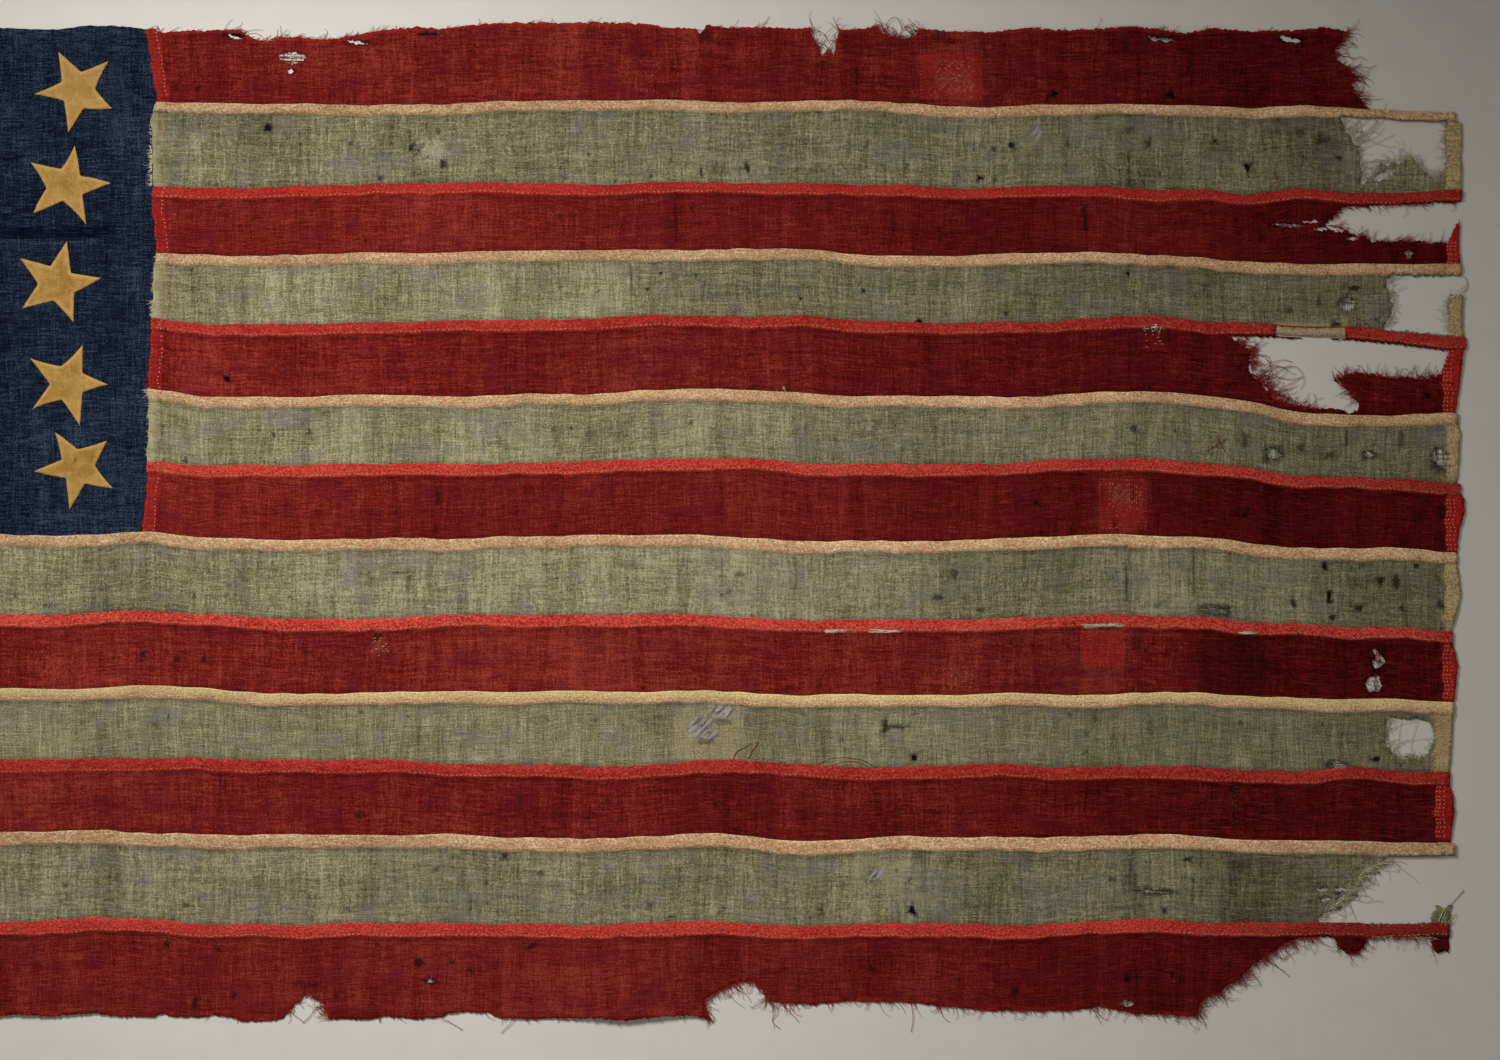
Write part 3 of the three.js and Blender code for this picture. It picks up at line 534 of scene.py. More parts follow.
def bunting(name, dark, mid, light, odd, odd2, odd_share, worn, under_patch, band_dark, band_mid, band_light, band_deep, fleck, dash, hem_dark, hem_light, grain, edge_lines):
    """Worn plain-weave wool. cuv holds the place along the threads in mm, zone
    the doubled seam, the hem and the tone with painted light, spot the dark, pale and brown marks
    with painted shadow lines beside the seams, fell the height above the seam's lower edge and the seam's own colour."""
    m = Nodes(name)
    u, v, w = m.attr("cuv")
    band, hem, tone_and_painted_light = m.attr("zone")
    dark_and_painted_shade, pale, brown = m.attr("spot")
    above, patch, tint = m.attr("fell")
    # Threads are not straight: they wander by a millimetre or two.
    wu = m.math("MULTIPLY_ADD", m.noise(u, v, w, 0.02, 0.03, 5.0, 1.0), 5.0, u)
    wv = m.math("MULTIPLY_ADD", m.noise(u, v, w, 0.012, 0.04, 9.0, 1.0), 4.0, v)
    warp = m.noise(wu, wv, w, 0.60, 0.060, 1.0, 2.0, 0.6)
    weft = m.noise(wu, wv, w, 0.055, 0.60, 3.0, 2.0, 0.6)
    speck = m.noise(wu, wv, w, 0.66, 0.66, 6.0, 2.0, 0.8)
    bands = m.noise(wu, wv, w, 0.060, 0.004, 7.0, 3.0, 0.6)
    rows = m.noise(wu, wv, w, 0.006, 0.13, 4.0, 2.0, 0.6)
    blot = m.noise(wu, wv, w, 0.013, 0.022, 8.0, 3.0, 0.6)
    value = total(
        m,
        0.5,
        contrast(m, warp, (0.9 - 0.08 * (1 - edge_lines)) * grain),
        contrast(m, weft, (1.1 + 0.25 * (1 - edge_lines)) * grain),
        contrast(m, speck, 2.3 * grain),
        contrast(m, m.noise(wu, wv, w, 0.40, 0.026, 15.0, 1.0), (0.8 - 0.2 * (1 - edge_lines)) * grain),
        contrast(m, bands, 0.52),
        contrast(m, rows, 0.34),
        contrast(m, blot, 0.30),
        contrast(m, m.noise(u, v, w, 0.0035, 0.004, 12.0, 2.0), 0.45),
        m.math("MULTIPLY", tone_and_painted_light, 0.5),
    )
    panel = m.ramp(value, [(0.0, dark), (0.5, mid), (1.0, light)])
    odd_mask = m.ramp(m.noise(u, v, w, 0.022, 0.034, 21.0, 3.0, 0.65), [(0.50, (0, 0, 0, 1)), (0.70, (1, 1, 1, 1))])
    panel = m.mix(m.math("MULTIPLY", odd_mask, odd_share), panel, odd)
    odd2_mask = m.ramp(m.noise(u, v, w, 0.05, 0.012, 25.0, 3.0, 0.65), [(0.50, (0, 0, 0, 1)), (0.72, (1, 1, 1, 1))])
    panel = m.mix(m.math("MULTIPLY", odd2_mask, 0.22), panel, odd2)
    # Single lighter threads, and dark gaps where threads are missing.
    pick = m.ramp(m.noise(wu, wv, w, 0.05, 0.95, 51.0, 1.0), [(0.60, (0, 0, 0, 1)), (0.68, (1, 1, 1, 1))])
    panel = m.mix(m.math("MULTIPLY", pick, 0.40 * grain), panel, light)
    gap = m.ramp(m.noise(wu, wv, w, 0.52, 0.46, 31.0, 2.0, 0.8), [(0.61, (0, 0, 0, 1)), (0.72, (1, 1, 1, 1))])
    panel = m.mix(m.math("MULTIPLY", gap, 0.5 * grain), panel, dark)
    grit = m.noise(u, v, w, 0.50, 0.55, 43.0, 2.0, 0.7)
    seam_value = total(m, 0.5, contrast(m, m.noise(wu, v, w, 0.12, 0.8, 41.0, 2.0), 0.8), contrast(m, grit, 2.1), contrast(m, m.noise(u, v, w, 0.02, 0.05, 45.0, 2.0), 0.7))
    seam_col = m.ramp(seam_value, [(0.0, band_dark), (0.5, band_mid), (1.0, band_light)])
    # The third zone value, tone with painted light, lightens or darkens the seam as it does the panel.
    # Cloth of another dye lot; on the white seams it is only the upper part.
    share = m.math("DIVIDE", v, m.math("MAXIMUM", m.math("ADD", v, above), 1.0))
    upper = m.math("MULTIPLY_ADD", m.ramp(share, [(0.42, (0, 0, 0, 1)), (0.64, (1, 1, 1, 1))]), -edge_lines, 1.0)
    deep = m.ramp(seam_value, [(0.0, shade(band_deep, 0.62)), (0.5, band_deep), (1.0, shade(band_deep, 1.4))])
    seam_col = m.mix(m.math("MULTIPLY", m.math("MULTIPLY", tint, upper), 0.9), seam_col, deep)
    inner = m.ramp(m.math("MULTIPLY", v, 0.1), [(0.16, (0, 0, 0, 1)), (0.36, (1, 1, 1, 1))])
    flecks = m.ramp(m.noise(u, v, w, 0.42, 0.46, 47.0, 1.0), [(0.50, (0, 0, 0, 1)), (0.62, (1, 1, 1, 1))])
    plain = m.math("MULTIPLY_ADD", tint, -0.75, 1.0)
    seam_col = m.mix(m.math("MULTIPLY", m.math("MULTIPLY", m.math("MULTIPLY", flecks, inner), plain), 0.55), seam_col, fleck)
    # A running line of stitches sunk into both edges of the seam.
    beat = m.math("SINE", m.math("MULTIPLY_ADD", u, 1.34, m.math("MULTIPLY", m.noise(u, v, w, 0.05, 0.02, 61.0, 1.0), 9.0)))
    on = m.ramp(m.math("MULTIPLY_ADD", beat, 0.5, 0.5), [(0.50, (0, 0, 0, 1)), (0.68, (1, 1, 1, 1))])
    low_line = m.ramp(m.math("ABSOLUTE", m.math("SUBTRACT", above, 1.3)), [(0.5, (1, 1, 1, 1)), (1.0, (0, 0, 0, 1))])
    top_line = m.ramp(m.math("ABSOLUTE", m.math("SUBTRACT", v, 2.2)), [(0.4, (1, 1, 1, 1)), (0.9, (0, 0, 0, 1))])
    lines = m.math("MAXIMUM", low_line, m.math("MULTIPLY", top_line, edge_lines))
    some = m.ramp(m.noise(u, v, w, 0.09, 0.09, 71.0, 2.0), [(0.36, (0.2, 0.2, 0.2, 1)), (0.6, (1, 1, 1, 1))])
    seam_col = m.mix(m.math("MULTIPLY", m.math("MULTIPLY", lines, some), m.math("MULTIPLY", on, 0.5 - 0.22 * edge_lines)), seam_col, dash)
    gain = m.math("ADD", tone_and_painted_light, 1.0)
    seam_col = m.mix(1.0, seam_col, m.vec(gain, gain, gain), "MULTIPLY")
    hem_col = m.ramp(seam_value, [(0.15, hem_dark), (0.85, hem_light)])
    denser = m.ramp(value, [(0.0, shade(under_patch, 0.5)), (0.5, under_patch), (1.0, shade(under_patch, 1.5))])
    panel = m.mix(m.math("MULTIPLY", patch, 0.8), panel, denser)
    color = m.mix(hem, panel, hem_col)
    color = m.mix(band, color, seam_col)
    color = m.mix(pale, color, light)
    color = m.mix(m.math("MULTIPLY", brown, 0.85), color, m.ramp(m.noise(m.math("SUBTRACT", u, v), m.math("ADD", u, v), w, 0.05, 0.24, 77.0, 1.0), [(0.38, worn[0]), (0.60, worn[1])]))
    # Dark marks, and the painted shadow lines beside the seams.
    color = m.mix(dark_and_painted_shade, color, lin(18, 13, 13))
    # The weave itself: one thread over and one under, about 0.8 mm apart.
    wx = m.math("SINE", m.math("MULTIPLY", wu, 3.9))
    wy = m.math("SINE", m.math("MULTIPLY", wv, 3.9))
    weave = m.math("MULTIPLY", wx, wy)
    height = total(m, m.math("MULTIPLY", m.math("MULTIPLY", grit, band), 3.0), m.math("MULTIPLY", weave, 0.35), m.math("MULTIPLY", warp, 1.6), m.math("MULTIPLY", weft, 1.6), m.math("MULTIPLY", speck, 1.2))
    m.bump(height, 0.55, 0.0005)
    return m.finish(color, 0.97, 0.0, 0.03)


RED = bunting(
    "red_bunting",
    dark=lin(56, 6, 8), mid=lin(111, 26, 24), light=lin(162, 66, 54), odd=lin(98, 18, 32), odd2=lin(122, 26, 24), odd_share=0.6, worn=(lin(104, 44, 36), lin(160, 96, 78)), under_patch=lin(146, 36, 36),
    band_dark=lin(132, 24, 26), band_mid=lin(182, 52, 46), band_light=lin(224, 98, 80), band_deep=lin(160, 35, 34), fleck=lin(218, 104, 78), dash=lin(222, 136, 102),
    hem_dark=lin(138, 26, 24), hem_light=lin(206, 54, 46), grain=0.64, edge_lines=0.0,
)
WHITE = bunting(
    "white_bunting",
    dark=lin(66, 64, 46), mid=lin(128, 122, 92), light=lin(186, 180, 148), odd=lin(120, 114, 116), odd2=lin(118, 118, 80), odd_share=0.5, worn=(lin(98, 93, 88), lin(180, 174, 178)), under_patch=lin(148, 139, 106),
    band_dark=lin(132, 98, 70), band_mid=lin(190, 154, 116), band_light=lin(236, 210, 172), band_deep=lin(200, 180, 126), fleck=lin(208, 144, 100), dash=lin(98, 68, 48),
    hem_dark=lin(150, 130, 94), hem_light=lin(222, 196, 146), grain=0.74, edge_lines=1.0,
)
BLUE = bunting(
    "blue_bunting",
    dark=lin(6, 8, 18), mid=lin(19, 27, 45), light=lin(58, 72, 92), odd=lin(18, 24, 44), odd2=lin(22, 34, 48), odd_share=0.3, worn=(lin(30, 40, 54), lin(50, 60, 74)), under_patch=lin(28, 38, 52),
    band_dark=lin(14, 20, 34), band_mid=lin(28, 38, 52), band_light=lin(50, 60, 80), band_deep=lin(28, 38, 52), fleck=lin(40, 50, 66), dash=lin(60, 70, 86),
    hem_dark=lin(18, 26, 42), hem_light=lin(40, 50, 68), grain=1.0, edge_lines=0.0,
)


def star_cotton():
    m = Nodes("star_cotton")
    u, v, w = m.attr("cuv")
    rim, crease, stain = m.attr("zone")
    fold = m.noise(u, v, w, 0.05, 0.05, 3.0, 4.0, 0.6)
    line = m.math("ABSOLUTE", m.math("SUBTRACT", fold, 0.5))
    line = m.ramp(line, [(0.0, (1, 1, 1, 1)), (0.035, (0, 0, 0, 1))])
    value = total(m, 0.5, contrast(m, m.noise(u, v, w, 0.7, 0.7, 1.0, 3.0), 0.7), contrast(m, m.noise(u, v, w, 0.06, 0.06, 2.0, 2.0), 0.9), contrast(m, m.noise(u, v, w, 1.0, 0.05, 5.0, 2.0), 0.35))
    col = m.ramp(value, [(0.0, lin(126, 92, 40)), (0.5, lin(160, 122, 60)), (1.0, lin(194, 156, 92))])
    col = m.mix(m.math("MULTIPLY", line, 0.3), col, lin(204, 166, 104))
    col = m.mix(m.math("MULTIPLY", crease, 0.5), col, lin(206, 170, 108))
    col = m.mix(m.math("MULTIPLY", rim, 0.55), col, lin(206, 164, 96))
    col = m.mix(m.math("MULTIPLY", stain, 0.8), col, lin(84, 54, 26))
    wx = m.math("SINE", m.math("MULTIPLY", u, 6.5))
    wy = m.math("SINE", m.math("MULTIPLY", v, 6.5))
    height = total(m, m.math("MULTIPLY", m.math("MULTIPLY", wx, wy), 0.2), m.math("MULTIPLY", fold, 4.0), m.noise(u, v, w, 0.8, 0.8, 8.0, 2.0))
    m.bump(height, 0.45, 0.0006)
    return m.finish(col, 0.9, 0.0, 0.12)


def thread(name, dark, light):
    m = Nodes(name)
    u, v, tint = m.attr("cuv")
    n = m.noise(u, v, tint, 0.4, 0.4, 2.0, 2.0)
    fac = total(m, m.math("MULTIPLY", tint, 0.8), contrast(m, n, 0.5), 0.1)
    col = m.ramp(fac, [(0.0, dark), (1.0, light)])
    twist = m.math("SINE", m.math("MULTIPLY", total(m, u, v), 7.0))
    m.bump(twist, 0.25, 0.0002)
    return m.finish(col, 0.95, 0.0, 0.1)


STAR = star_cotton()
RED_THREAD = thread("red_thread", lin(100, 18, 16), lin(180, 56, 46))
WHITE_THREAD = thread("white_thread", lin(164, 156, 124), lin(236, 230, 204))
BLUE_THREAD = thread("blue_thread", lin(16, 22, 34), lin(44, 54, 74))
PALE_STITCH = thread("pale_stitch", lin(188, 80, 58), lin(244, 196, 150))
GREY_THREAD = thread("grey_thread", lin(92, 88, 92), lin(196, 190, 194))
DARK_STITCH = thread("dark_stitch", lin(92, 66, 46), lin(164, 122, 86))

# --------------------------------------------------------- marks on the cloth
# Each mark: kind, u, v, half width, half height, strength. "d" dark, "p" pale, "b" brown.
MARKS = {
    1: [("d", 1054, 94, 2.4, 3, 0.9), ("d", 1170, 95, 4, 4, 0.85), ("d", 292, 72, 4, 2, 0.8), ("d", 197, 88, 2, 2, 0.7), ("d", 176, 90, 1.5, 1.5, 0.6), ("d", 236, 36, 9, 2.6, 0.9), ("d", 360, 42, 14, 2.2, 0.75), ("d", 429, 34, 12, 1.6, 0.7), ("d", 1162, 39, 17, 3, 0.75), ("d", 1290, 39, 15, 4, 0.75), ("b", 952, 84, 22, 12, 0.28), ("d", 822, 66, 9, 5, 0.4), ("d", 705, 36, 8, 6, 0.55), ("d", 708, 54, 5, 3, 0.3), ("d", 855, 78, 5, 13, 0.28), ("d", 939, 37, 9, 6, 0.5), ("d", 950, 42, 5, 3, 0.4), ("d", 1126, 48, 4, 9, 0.35), ("d", 1052, 96, 5, 2.6, 0.5), ("d", 900, 41, 14, 5, 0.4)],
    2: [("d", 268, 127, 3.5, 4.5, 0.8), ("d", 411, 148, 3, 3.5, 0.7), ("d", 443, 163, 2, 4, 0.7), ("d", 380, 179, 2.4, 3, 0.6), ("d", 747, 167, 2.6, 4.6, 0.75), ("d", 701, 172, 1.4, 6, 0.6), ("d", 994, 150, 2.2, 2.1, 0.6), ("d", 1010.6, 145.5, 2.6, 2.8, 0.8), ("d", 1068, 146, 2.1, 3.2, 0.55), ("d", 980, 178, 3.2, 2, 0.8), ("d", 995.4, 180, 1.8, 2.4, 0.6), ("d", 1127.7, 131, 3.6, 3.2, 0.42), ("d", 1148, 145, 2.2, 3.6, 0.62), ("d", 1247, 168, 3, 5, 0.95), ("d", 1215, 141, 2, 2.5, 0.7),
        ("d", 1128, 159, 1.4, 4.5, 0.42), ("d", 1127.6, 170, 1.4, 4.6, 0.5), ("d", 1128.4, 180, 1.4, 3.4, 0.45), ("p", 431, 151, 16, 12, 0.42), ("d", 420, 146, 7, 3, 0.5), ("d", 418, 152, 3, 4, 0.6), ("b", 1036, 134, 6, 9, 0.7), ("d", 722, 172, 20, 7, 0.22), ("d", 1325, 140, 6, 3, 0.5), ("d", 1338, 158, 3, 2, 0.7), ("d", 1300, 133, 4, 6, 0.4)],
    3: [("d", 1284, 225, 20, 2.4, 0.8), ("d", 1330, 232, 20, 3, 0.5), ("d", 676, 221, 2.2, 25, 0.5), ("d", 1084.6, 221, 2, 11, 0.6), ("d", 1082.5, 211, 1.6, 5, 0.55), ("d", 1100, 211, 5, 3, 0.25), ("d", 1408, 254, 5, 5, 0.7), ("d", 560, 215, 2, 2, 0.5)],
    4: [("p", 1311, 332, 38, 10, 0.3), ("d", 1354, 288, 5, 3, 0.7), ("d", 1347, 304, 9, 8, 0.7), ("d", 1336, 325, 5, 3, 0.7), ("d", 1205, 288, 2, 4, 0.45), ("d", 1129, 262, 1.4, 14, 0.4), ("d", 395, 272, 3, 2, 0.4), ("d", 291, 275, 1, 12, 0.35), ("d", 918.5, 321.6, 4.4, 2.8, 1.0), ("d", 661, 273, 1.4, 1.4, 0.8), ("d", 648, 289, 1.4, 1.4, 0.8), ("d", 863.5, 291.5, 1.4, 1.4, 0.8), ("d", 801, 298.8, 1.4, 1.4, 0.8), ("d", 1127.7, 274, 1.8, 2, 0.8), ("d", 887, 290, 10, 8, 0.24), ("d", 1005.6, 313.7, 1.4, 2, 0.7), ("d", 1318, 300, 2, 6, 0.45), ("p", 600, 300, 10, 8, 0.2), ("d", 1290, 310, 3, 3, 0.5)],
    5: [("d", 227, 379, 3.5, 3.5, 0.9), ("p", 1155, 327, 5, 2.5, 0.9), ("d", 1349, 411, 6, 3, 0.8), ("d", 1428, 395.5, 4, 3, 0.8), ("d", 1129, 360, 1.2, 24, 0.3)],
    6: [("d", 1272, 455, 11, 8, 0.75), ("d", 1368, 455, 8, 5, 0.75), ("d", 1439, 462, 9, 13, 0.7), ("d", 274, 435, 2, 3, 0.6), ("d", 1133, 428, 3.5, 4, 0.6), ("d", 1401, 437, 3, 12, 0.6), ("b", 160, 441, 4, 4, 0.7), ("d", 184, 461, 3, 2, 0.6), ("d", 1245, 440, 3, 8, 0.5), ("d", 1300, 447, 4, 4, 0.5), ("d", 1330, 455, 5, 3, 0.5), ("d", 1346, 440, 2, 6, 0.5), ("d", 1290, 428, 16, 5, 0.3), ("p", 350, 430, 12, 14, 0.25)],
    7: [("d", 1418, 517, 5, 8, 0.4), ("d", 1441, 511, 4, 9, 0.5), ("d", 1438, 537, 5, 7, 0.45), ("d", 1036, 502, 2.5, 2.5, 0.7), ("d", 1244, 515, 2.5, 2.5, 0.7), ("b", 1122, 496, 11, 9, 0.6), ("d", 1132, 492, 1.5, 8, 0.4), ("d", 438, 498, 2, 7, 0.5), ("p", 1140, 505, 2, 18, 0.3)],
    8: [("d", 1126, 583, 1.4, 29, 0.6), ("d", 1193, 571, 1.4, 33, 0.55), ("d", 1214, 611, 16, 6, 0.8), ("d", 938, 597, 5, 3, 0.55), ("d", 954, 574, 4, 5, 0.5), ("d", 979, 610, 5, 2, 0.55), ("d", 1293, 603, 3, 4, 0.7), ("d", 1324, 566, 2.5, 4, 0.8), ("d", 1329, 596, 2.5, 7, 0.8), ("d", 1380, 581, 2.5, 4, 0.7), ("d", 1396, 582, 4, 9, 0.8), ("d", 1416, 566, 3, 2.5, 0.7),
        ("d", 1359, 609, 3, 3, 0.7), ("d", 1332, 617, 4, 2, 0.7), ("d", 1401, 608, 3, 3, 0.6), ("d", 1440, 604, 3, 5, 0.6), ("b", 130, 548, 4, 3, 0.6), ("d", 400, 573, 8, 2, 0.4), ("d", 409, 581, 2, 7, 0.35), ("d", 740, 574, 4, 3, 0.45), ("p", 650, 563, 16, 2, 0.5), ("d", 722, 570, 1, 12, 0.3)],
    9: [("d", 1233, 658, 12, 26, 0.3), ("d", 1436, 650, 4, 9, 0.4), ("d", 1436, 686, 6, 6, 0.4), ("d", 1400, 655, 5, 8, 0.3), ("d", 1378, 659, 10, 14, 0.75), ("d", 1373, 684, 11, 10, 0.75), ("d", 1376, 671, 6, 8, 0.6), ("d", 143, 654, 3, 3, 0.6), ("d", 176, 659, 4, 3, 0.5), ("d", 204, 659, 3, 3, 0.5), ("d", 309, 652, 4, 2, 0.5), ("b", 381, 645, 7, 9, 0.4), ("d", 378, 636, 5, 3, 0.6), ("d", 817, 681, 5, 13, 0.28), ("b", 958, 678, 13, 8, 0.2), ("d", 1137, 643, 6, 9, 0.4), ("s", 1231, 666, 34, 25, 0.34), ("s", 1251, 662, 14, 26, 0.42), ("p", 735, 660, 14, 8, 0.15)],
    10: [("d", 1409, 738, 27, 24, 0.4), ("d", 1337, 767, 13, 7, 0.7), ("d", 885, 726, 2.4, 7, 0.7), ("d", 896, 727, 11, 1.8, 0.65), ("d", 914, 758, 3.2, 4, 0.9), ("d", 1376, 759, 4, 3, 0.8), ("b", 701, 727, 13, 11, 0.95), ("b", 722, 711, 14, 8, 0.95), ("b", 712, 736, 9, 6, 0.8), ("d", 726, 722, 6, 3, 0.4), ("d", 706, 741, 9, 3, 0.4), ("d", 720, 721, 7, 2.5, 0.35), ("d", 1150, 725, 3, 9, 0.3), ("d", 1095, 718, 2, 4, 0.4), ("d", 1240, 722, 2, 3, 0.4), ("p", 60, 735, 10, 12, 0.15)],
    11: [("d", 1236, 804, 5, 19, 0.4), ("d", 1232, 790, 4, 5, 0.5), ("d", 360, 815, 6, 4, 0.4), ("d", 520, 800, 1.5, 10, 0.3)],
    12: [("b", 876, 874, 9, 7, 0.9), ("d", 873, 881, 7, 1.5, 0.3), ("d", 1156, 892, 22, 3, 0.8), ("d", 650, 905, 3, 3, 0.4), ("d", 672, 916, 5, 1.5, 0.4), ("d", 912, 910, 3.4, 4.2, 0.85), ("d", 1111, 879, 3, 3, 0.5), ("d", 1164, 910, 2.5, 3, 0.7), ("d", 1187, 859, 4, 2, 0.7), ("d", 505, 856, 3, 3, 0.7), ("d", 540, 872, 3, 2, 0.5), ("d", 186, 905, 3, 3, 0.5), ("p", 157, 878, 8, 2, 0.4), ("p", 152, 871, 1.5, 8, 0.35),
         ("d", 1130, 872, 1, 16, 0.4), ("d", 1340, 893, 5, 5, 0.5), ("d", 1240, 865, 12, 6, 0.25)],
    13: [("d", 167, 944, 3, 3, 0.6), ("d", 218, 949, 3, 2.5, 0.6), ("d", 235, 995, 2.5, 3, 0.6), ("d", 195, 1003, 2, 7, 0.55), ("d", 532, 946, 4, 3, 0.6), ("d", 1127, 979, 3, 3, 0.7), ("d", 1172, 974, 3, 3, 0.6), ("d", 1015, 991, 4, 4, 0.5), ("d", 430, 980, 8, 5, 0.7), ("d", 419, 963, 5, 4, 0.6), ("d", 1127, 1003, 9, 4, 0.7), ("d", 452, 962, 3, 2, 0.5), ("d", 470, 970, 3, 2, 0.5), ("d", 743, 985, 12, 5, 0.5), ("d", 308, 985, 12, 5, 0.4)],
}
# Tone along a stripe: a middle u, a half width, and lighter or darker.
TONES = {
    1: [(380, 260, 0.12), (955, 30, 0.4), (640, 130, 0.12), (1010, 60, 0.15), (560, 26, 0.15), (855, 20, -0.25), (1240, 30, -0.15), (690, 10, 0.2), (1340, 18, 0.25)],
    2: [(230, 110, -0.4), (450, 130, -0.2), (262, 14, -0.15), (205, 20, 0.15), (640, 40, -0.15), (330, 30, 0.1), (1150, 30, -0.2), (1000, 30, 0.12), (1320, 26, -0.2)],
    3: [(260, 90, -0.2), (430, 50, 0.1), (650, 60, 0.1), (676, 14, -0.2), (1150, 90, 0.45), (1280, 40, 0.2)],
    4: [(270, 22, 0.22), (375, 26, -0.18), (600, 26, 0.25), (480, 30, 0.12), (830, 40, -0.12), (960, 24, 0.15), (1200, 30, -0.15)],
    5: [(210, 30, 0.12), (330, 40, 0.1), (520, 30, -0.1), (1100, 40, 0.1), (1290, 20, -0.1)],
    6: [(1090, 110, 0.18), (350, 18, 0.3), (470, 26, 0.12), (225, 16, -0.2), (590, 24, -0.12), (690, 14, 0.2), (770, 12, 0.2), (980, 22, 0.15), (1130, 20, -0.12)],
    7: [(280, 40, 0.12), (800, 90, 0.12), (1122, 27, 0.6), (990, 24, 0.12), (1300, 40, -0.12)],
    8: [(640, 170, 0.32), (900, 100, 0.16), (1190, 120, 0.34), (26, 22, 0.2), (110, 26, -0.12), (330, 30, 0.15), (240, 12, -0.15), (420, 26, 0.18), (560, 20, -0.15), (720, 30, 0.2), (905, 14, 0.15), (960, 20, -0.18), (1160, 14, 0.18), (1250, 30, -0.12), (1420, 24, -0.15), (-200, 40, 0.12), (-420, 40, -0.12)],
    9: [(70, 40, 0.15), (300, 30, 0.1), (620, 170, 0.3), (1000, 190, 0.42), (1102, 24, 0.3), (960, 18, 0.12), (1240, 40, -0.1), (-160, 40, 0.1), (-350, 50, -0.1)],
    10: [(710, 36, 0.32), (240, 30, -0.12), (520, 110, 0.16), (940, 140, 0.22), (500, 20, 0.15), (430, 20, -0.12), (860, 22, 0.15), (1010, 26, -0.1), (1180, 14, 0.1), (40, 30, 0.1), (-120, 30, -0.1), (-300, 60, 0.12)],
    11: [(30, 180, 0.22), (50, 40, 0.12), (360, 30, -0.15), (610, 40, 0.1), (900, 30, -0.08), (-220, 50, 0.1)],
    12: [(1290, 70, -0.35), (110, 16, -0.25), (170, 24, 0.12), (330, 30, 0.1), (450, 16, -0.12), (560, 22, 0.15), (880, 28, 0.22), (980, 26, -0.1), (1230, 36, -0.18), (1160, 14, 0.1), (-60, 40, 0.12), (-380, 50, -0.1)],
    13: [(620, 220, 0.26), (910, 110, 0.14), (60, 40, 0.15), (260, 30, 0.12), (720, 20, -0.25), (560, 20, 0.1), (915, 24, 0.15), (1080, 26, 0.08), (1270, 30, -0.15), (-200, 40, -0.1)],
}


def painted(i, u, v):
    """dark, pale and brown marks of stripe i, with soft uneven rims."""
    out = {k: np.zeros(len(u)) for k in "dpb"}
    jag = 1 + 0.22 * wavy(u, v, 31 + i, 7, 7, 5)
    for kind, mu, mv, a, b, s in MARKS.get(i, []):
        if kind == "s":  # a thin place with nearly straight sides
            d = np.maximum(np.abs(u - mu) / a, np.abs(v - mv) / b) * (1 + 0.10 * wavy(u, v, 81 + i, 9, 12, 5))
            out["d"] = np.maximum(out["d"], s * smooth(1.06, 0.94, d))
            continue
        d = np.sqrt(((u - mu) / a) ** 2 + ((v - mv) / b) ** 2) * jag
        small = kind == "d" and a * b < 30
        out[kind] = np.maximum(out[kind], (min(1.0, 1.2 * s) if small else s) * smooth(1.25, 0.8 if small else 0.55, d))
    return out


def tones(i, u, v, local):
    t = np.zeros(len(u))
    for mu, a, s in TONES.get(i, []):
        edge = mu + 1.5 * np.sin(local / 9 + mu)
        t += s * smooth(a * 1.25, a * 0.6, np.abs(u - edge))
    if i % 2:  # painted shade: the reds darken toward the fly, where the light falls off
        t -= 0.62 * smooth(750, 1420, u)
    return t


SEAM_FACTOR = {1: 1.0, 2: 0.95, 3: 1.0, 4: 0.93, 5: 0.9, 6: 1.0, 7: 1.02, 8: 1.03, 9: 1.05, 10: 1.08, 11: 0.92, 12: 1.06, 13: 1.14}


def seam_tone_and_painted_light(i, u):
    """Painted light on the doubled seams: a tone for each stripe, lighter toward the fly and darker toward the hoist;
    stripes 7, 12 and 13 turn darker again near the fly.
    """
    rise, fall = (0.16, 0.09) if i % 2 else (0.42, 0.13)
    gain = (1 + rise * smooth(450, 1130, u) - fall * smooth(450, 150, u)) * SEAM_FACTOR[i]
    if i >= 12:
        gain *= 1 - (0.5 if i == 13 else 0.2) * smooth(1120 if i == 13 else 1180, 1400, u)
    if i == 7:
        gain *= 1 - 0.22 * smooth(1260, 1420, u)
    return gain - 1


PATCH_SHOWS = {1: 0.8, 2: 0.3, 7: 0.8, 9: 0.85, 10: 0.85, 12: 0.7}


def patch_mask(i, u, v):
    """Where a repair piece below makes the worn cloth denser and brighter."""
    t = np.zeros(len(u))
    for pi, u0, u1, v0, v1 in PATCHES:
        if pi == i:
            edge = 1.1 * wavy(u, v, 61 + i, 17, 17, 5)
            box = np.minimum.reduce([u - u0 - 3, u1 - 3 - u, v - v0 - (6 if i == 1 else 2), v1 - 3 - v]) + edge
            t += PATCH_SHOWS[i] * smooth(-1.2, 1.2, box)
    if i == 5:
        box = np.minimum.reduce([u - 1141, 1163 - u, v - 325, 350 - v]) + 1.5 * wavy(u, v, 66, 11, 11, 5)
        t += 0.5 * smooth(-1.5, 1.5, box)
    return t


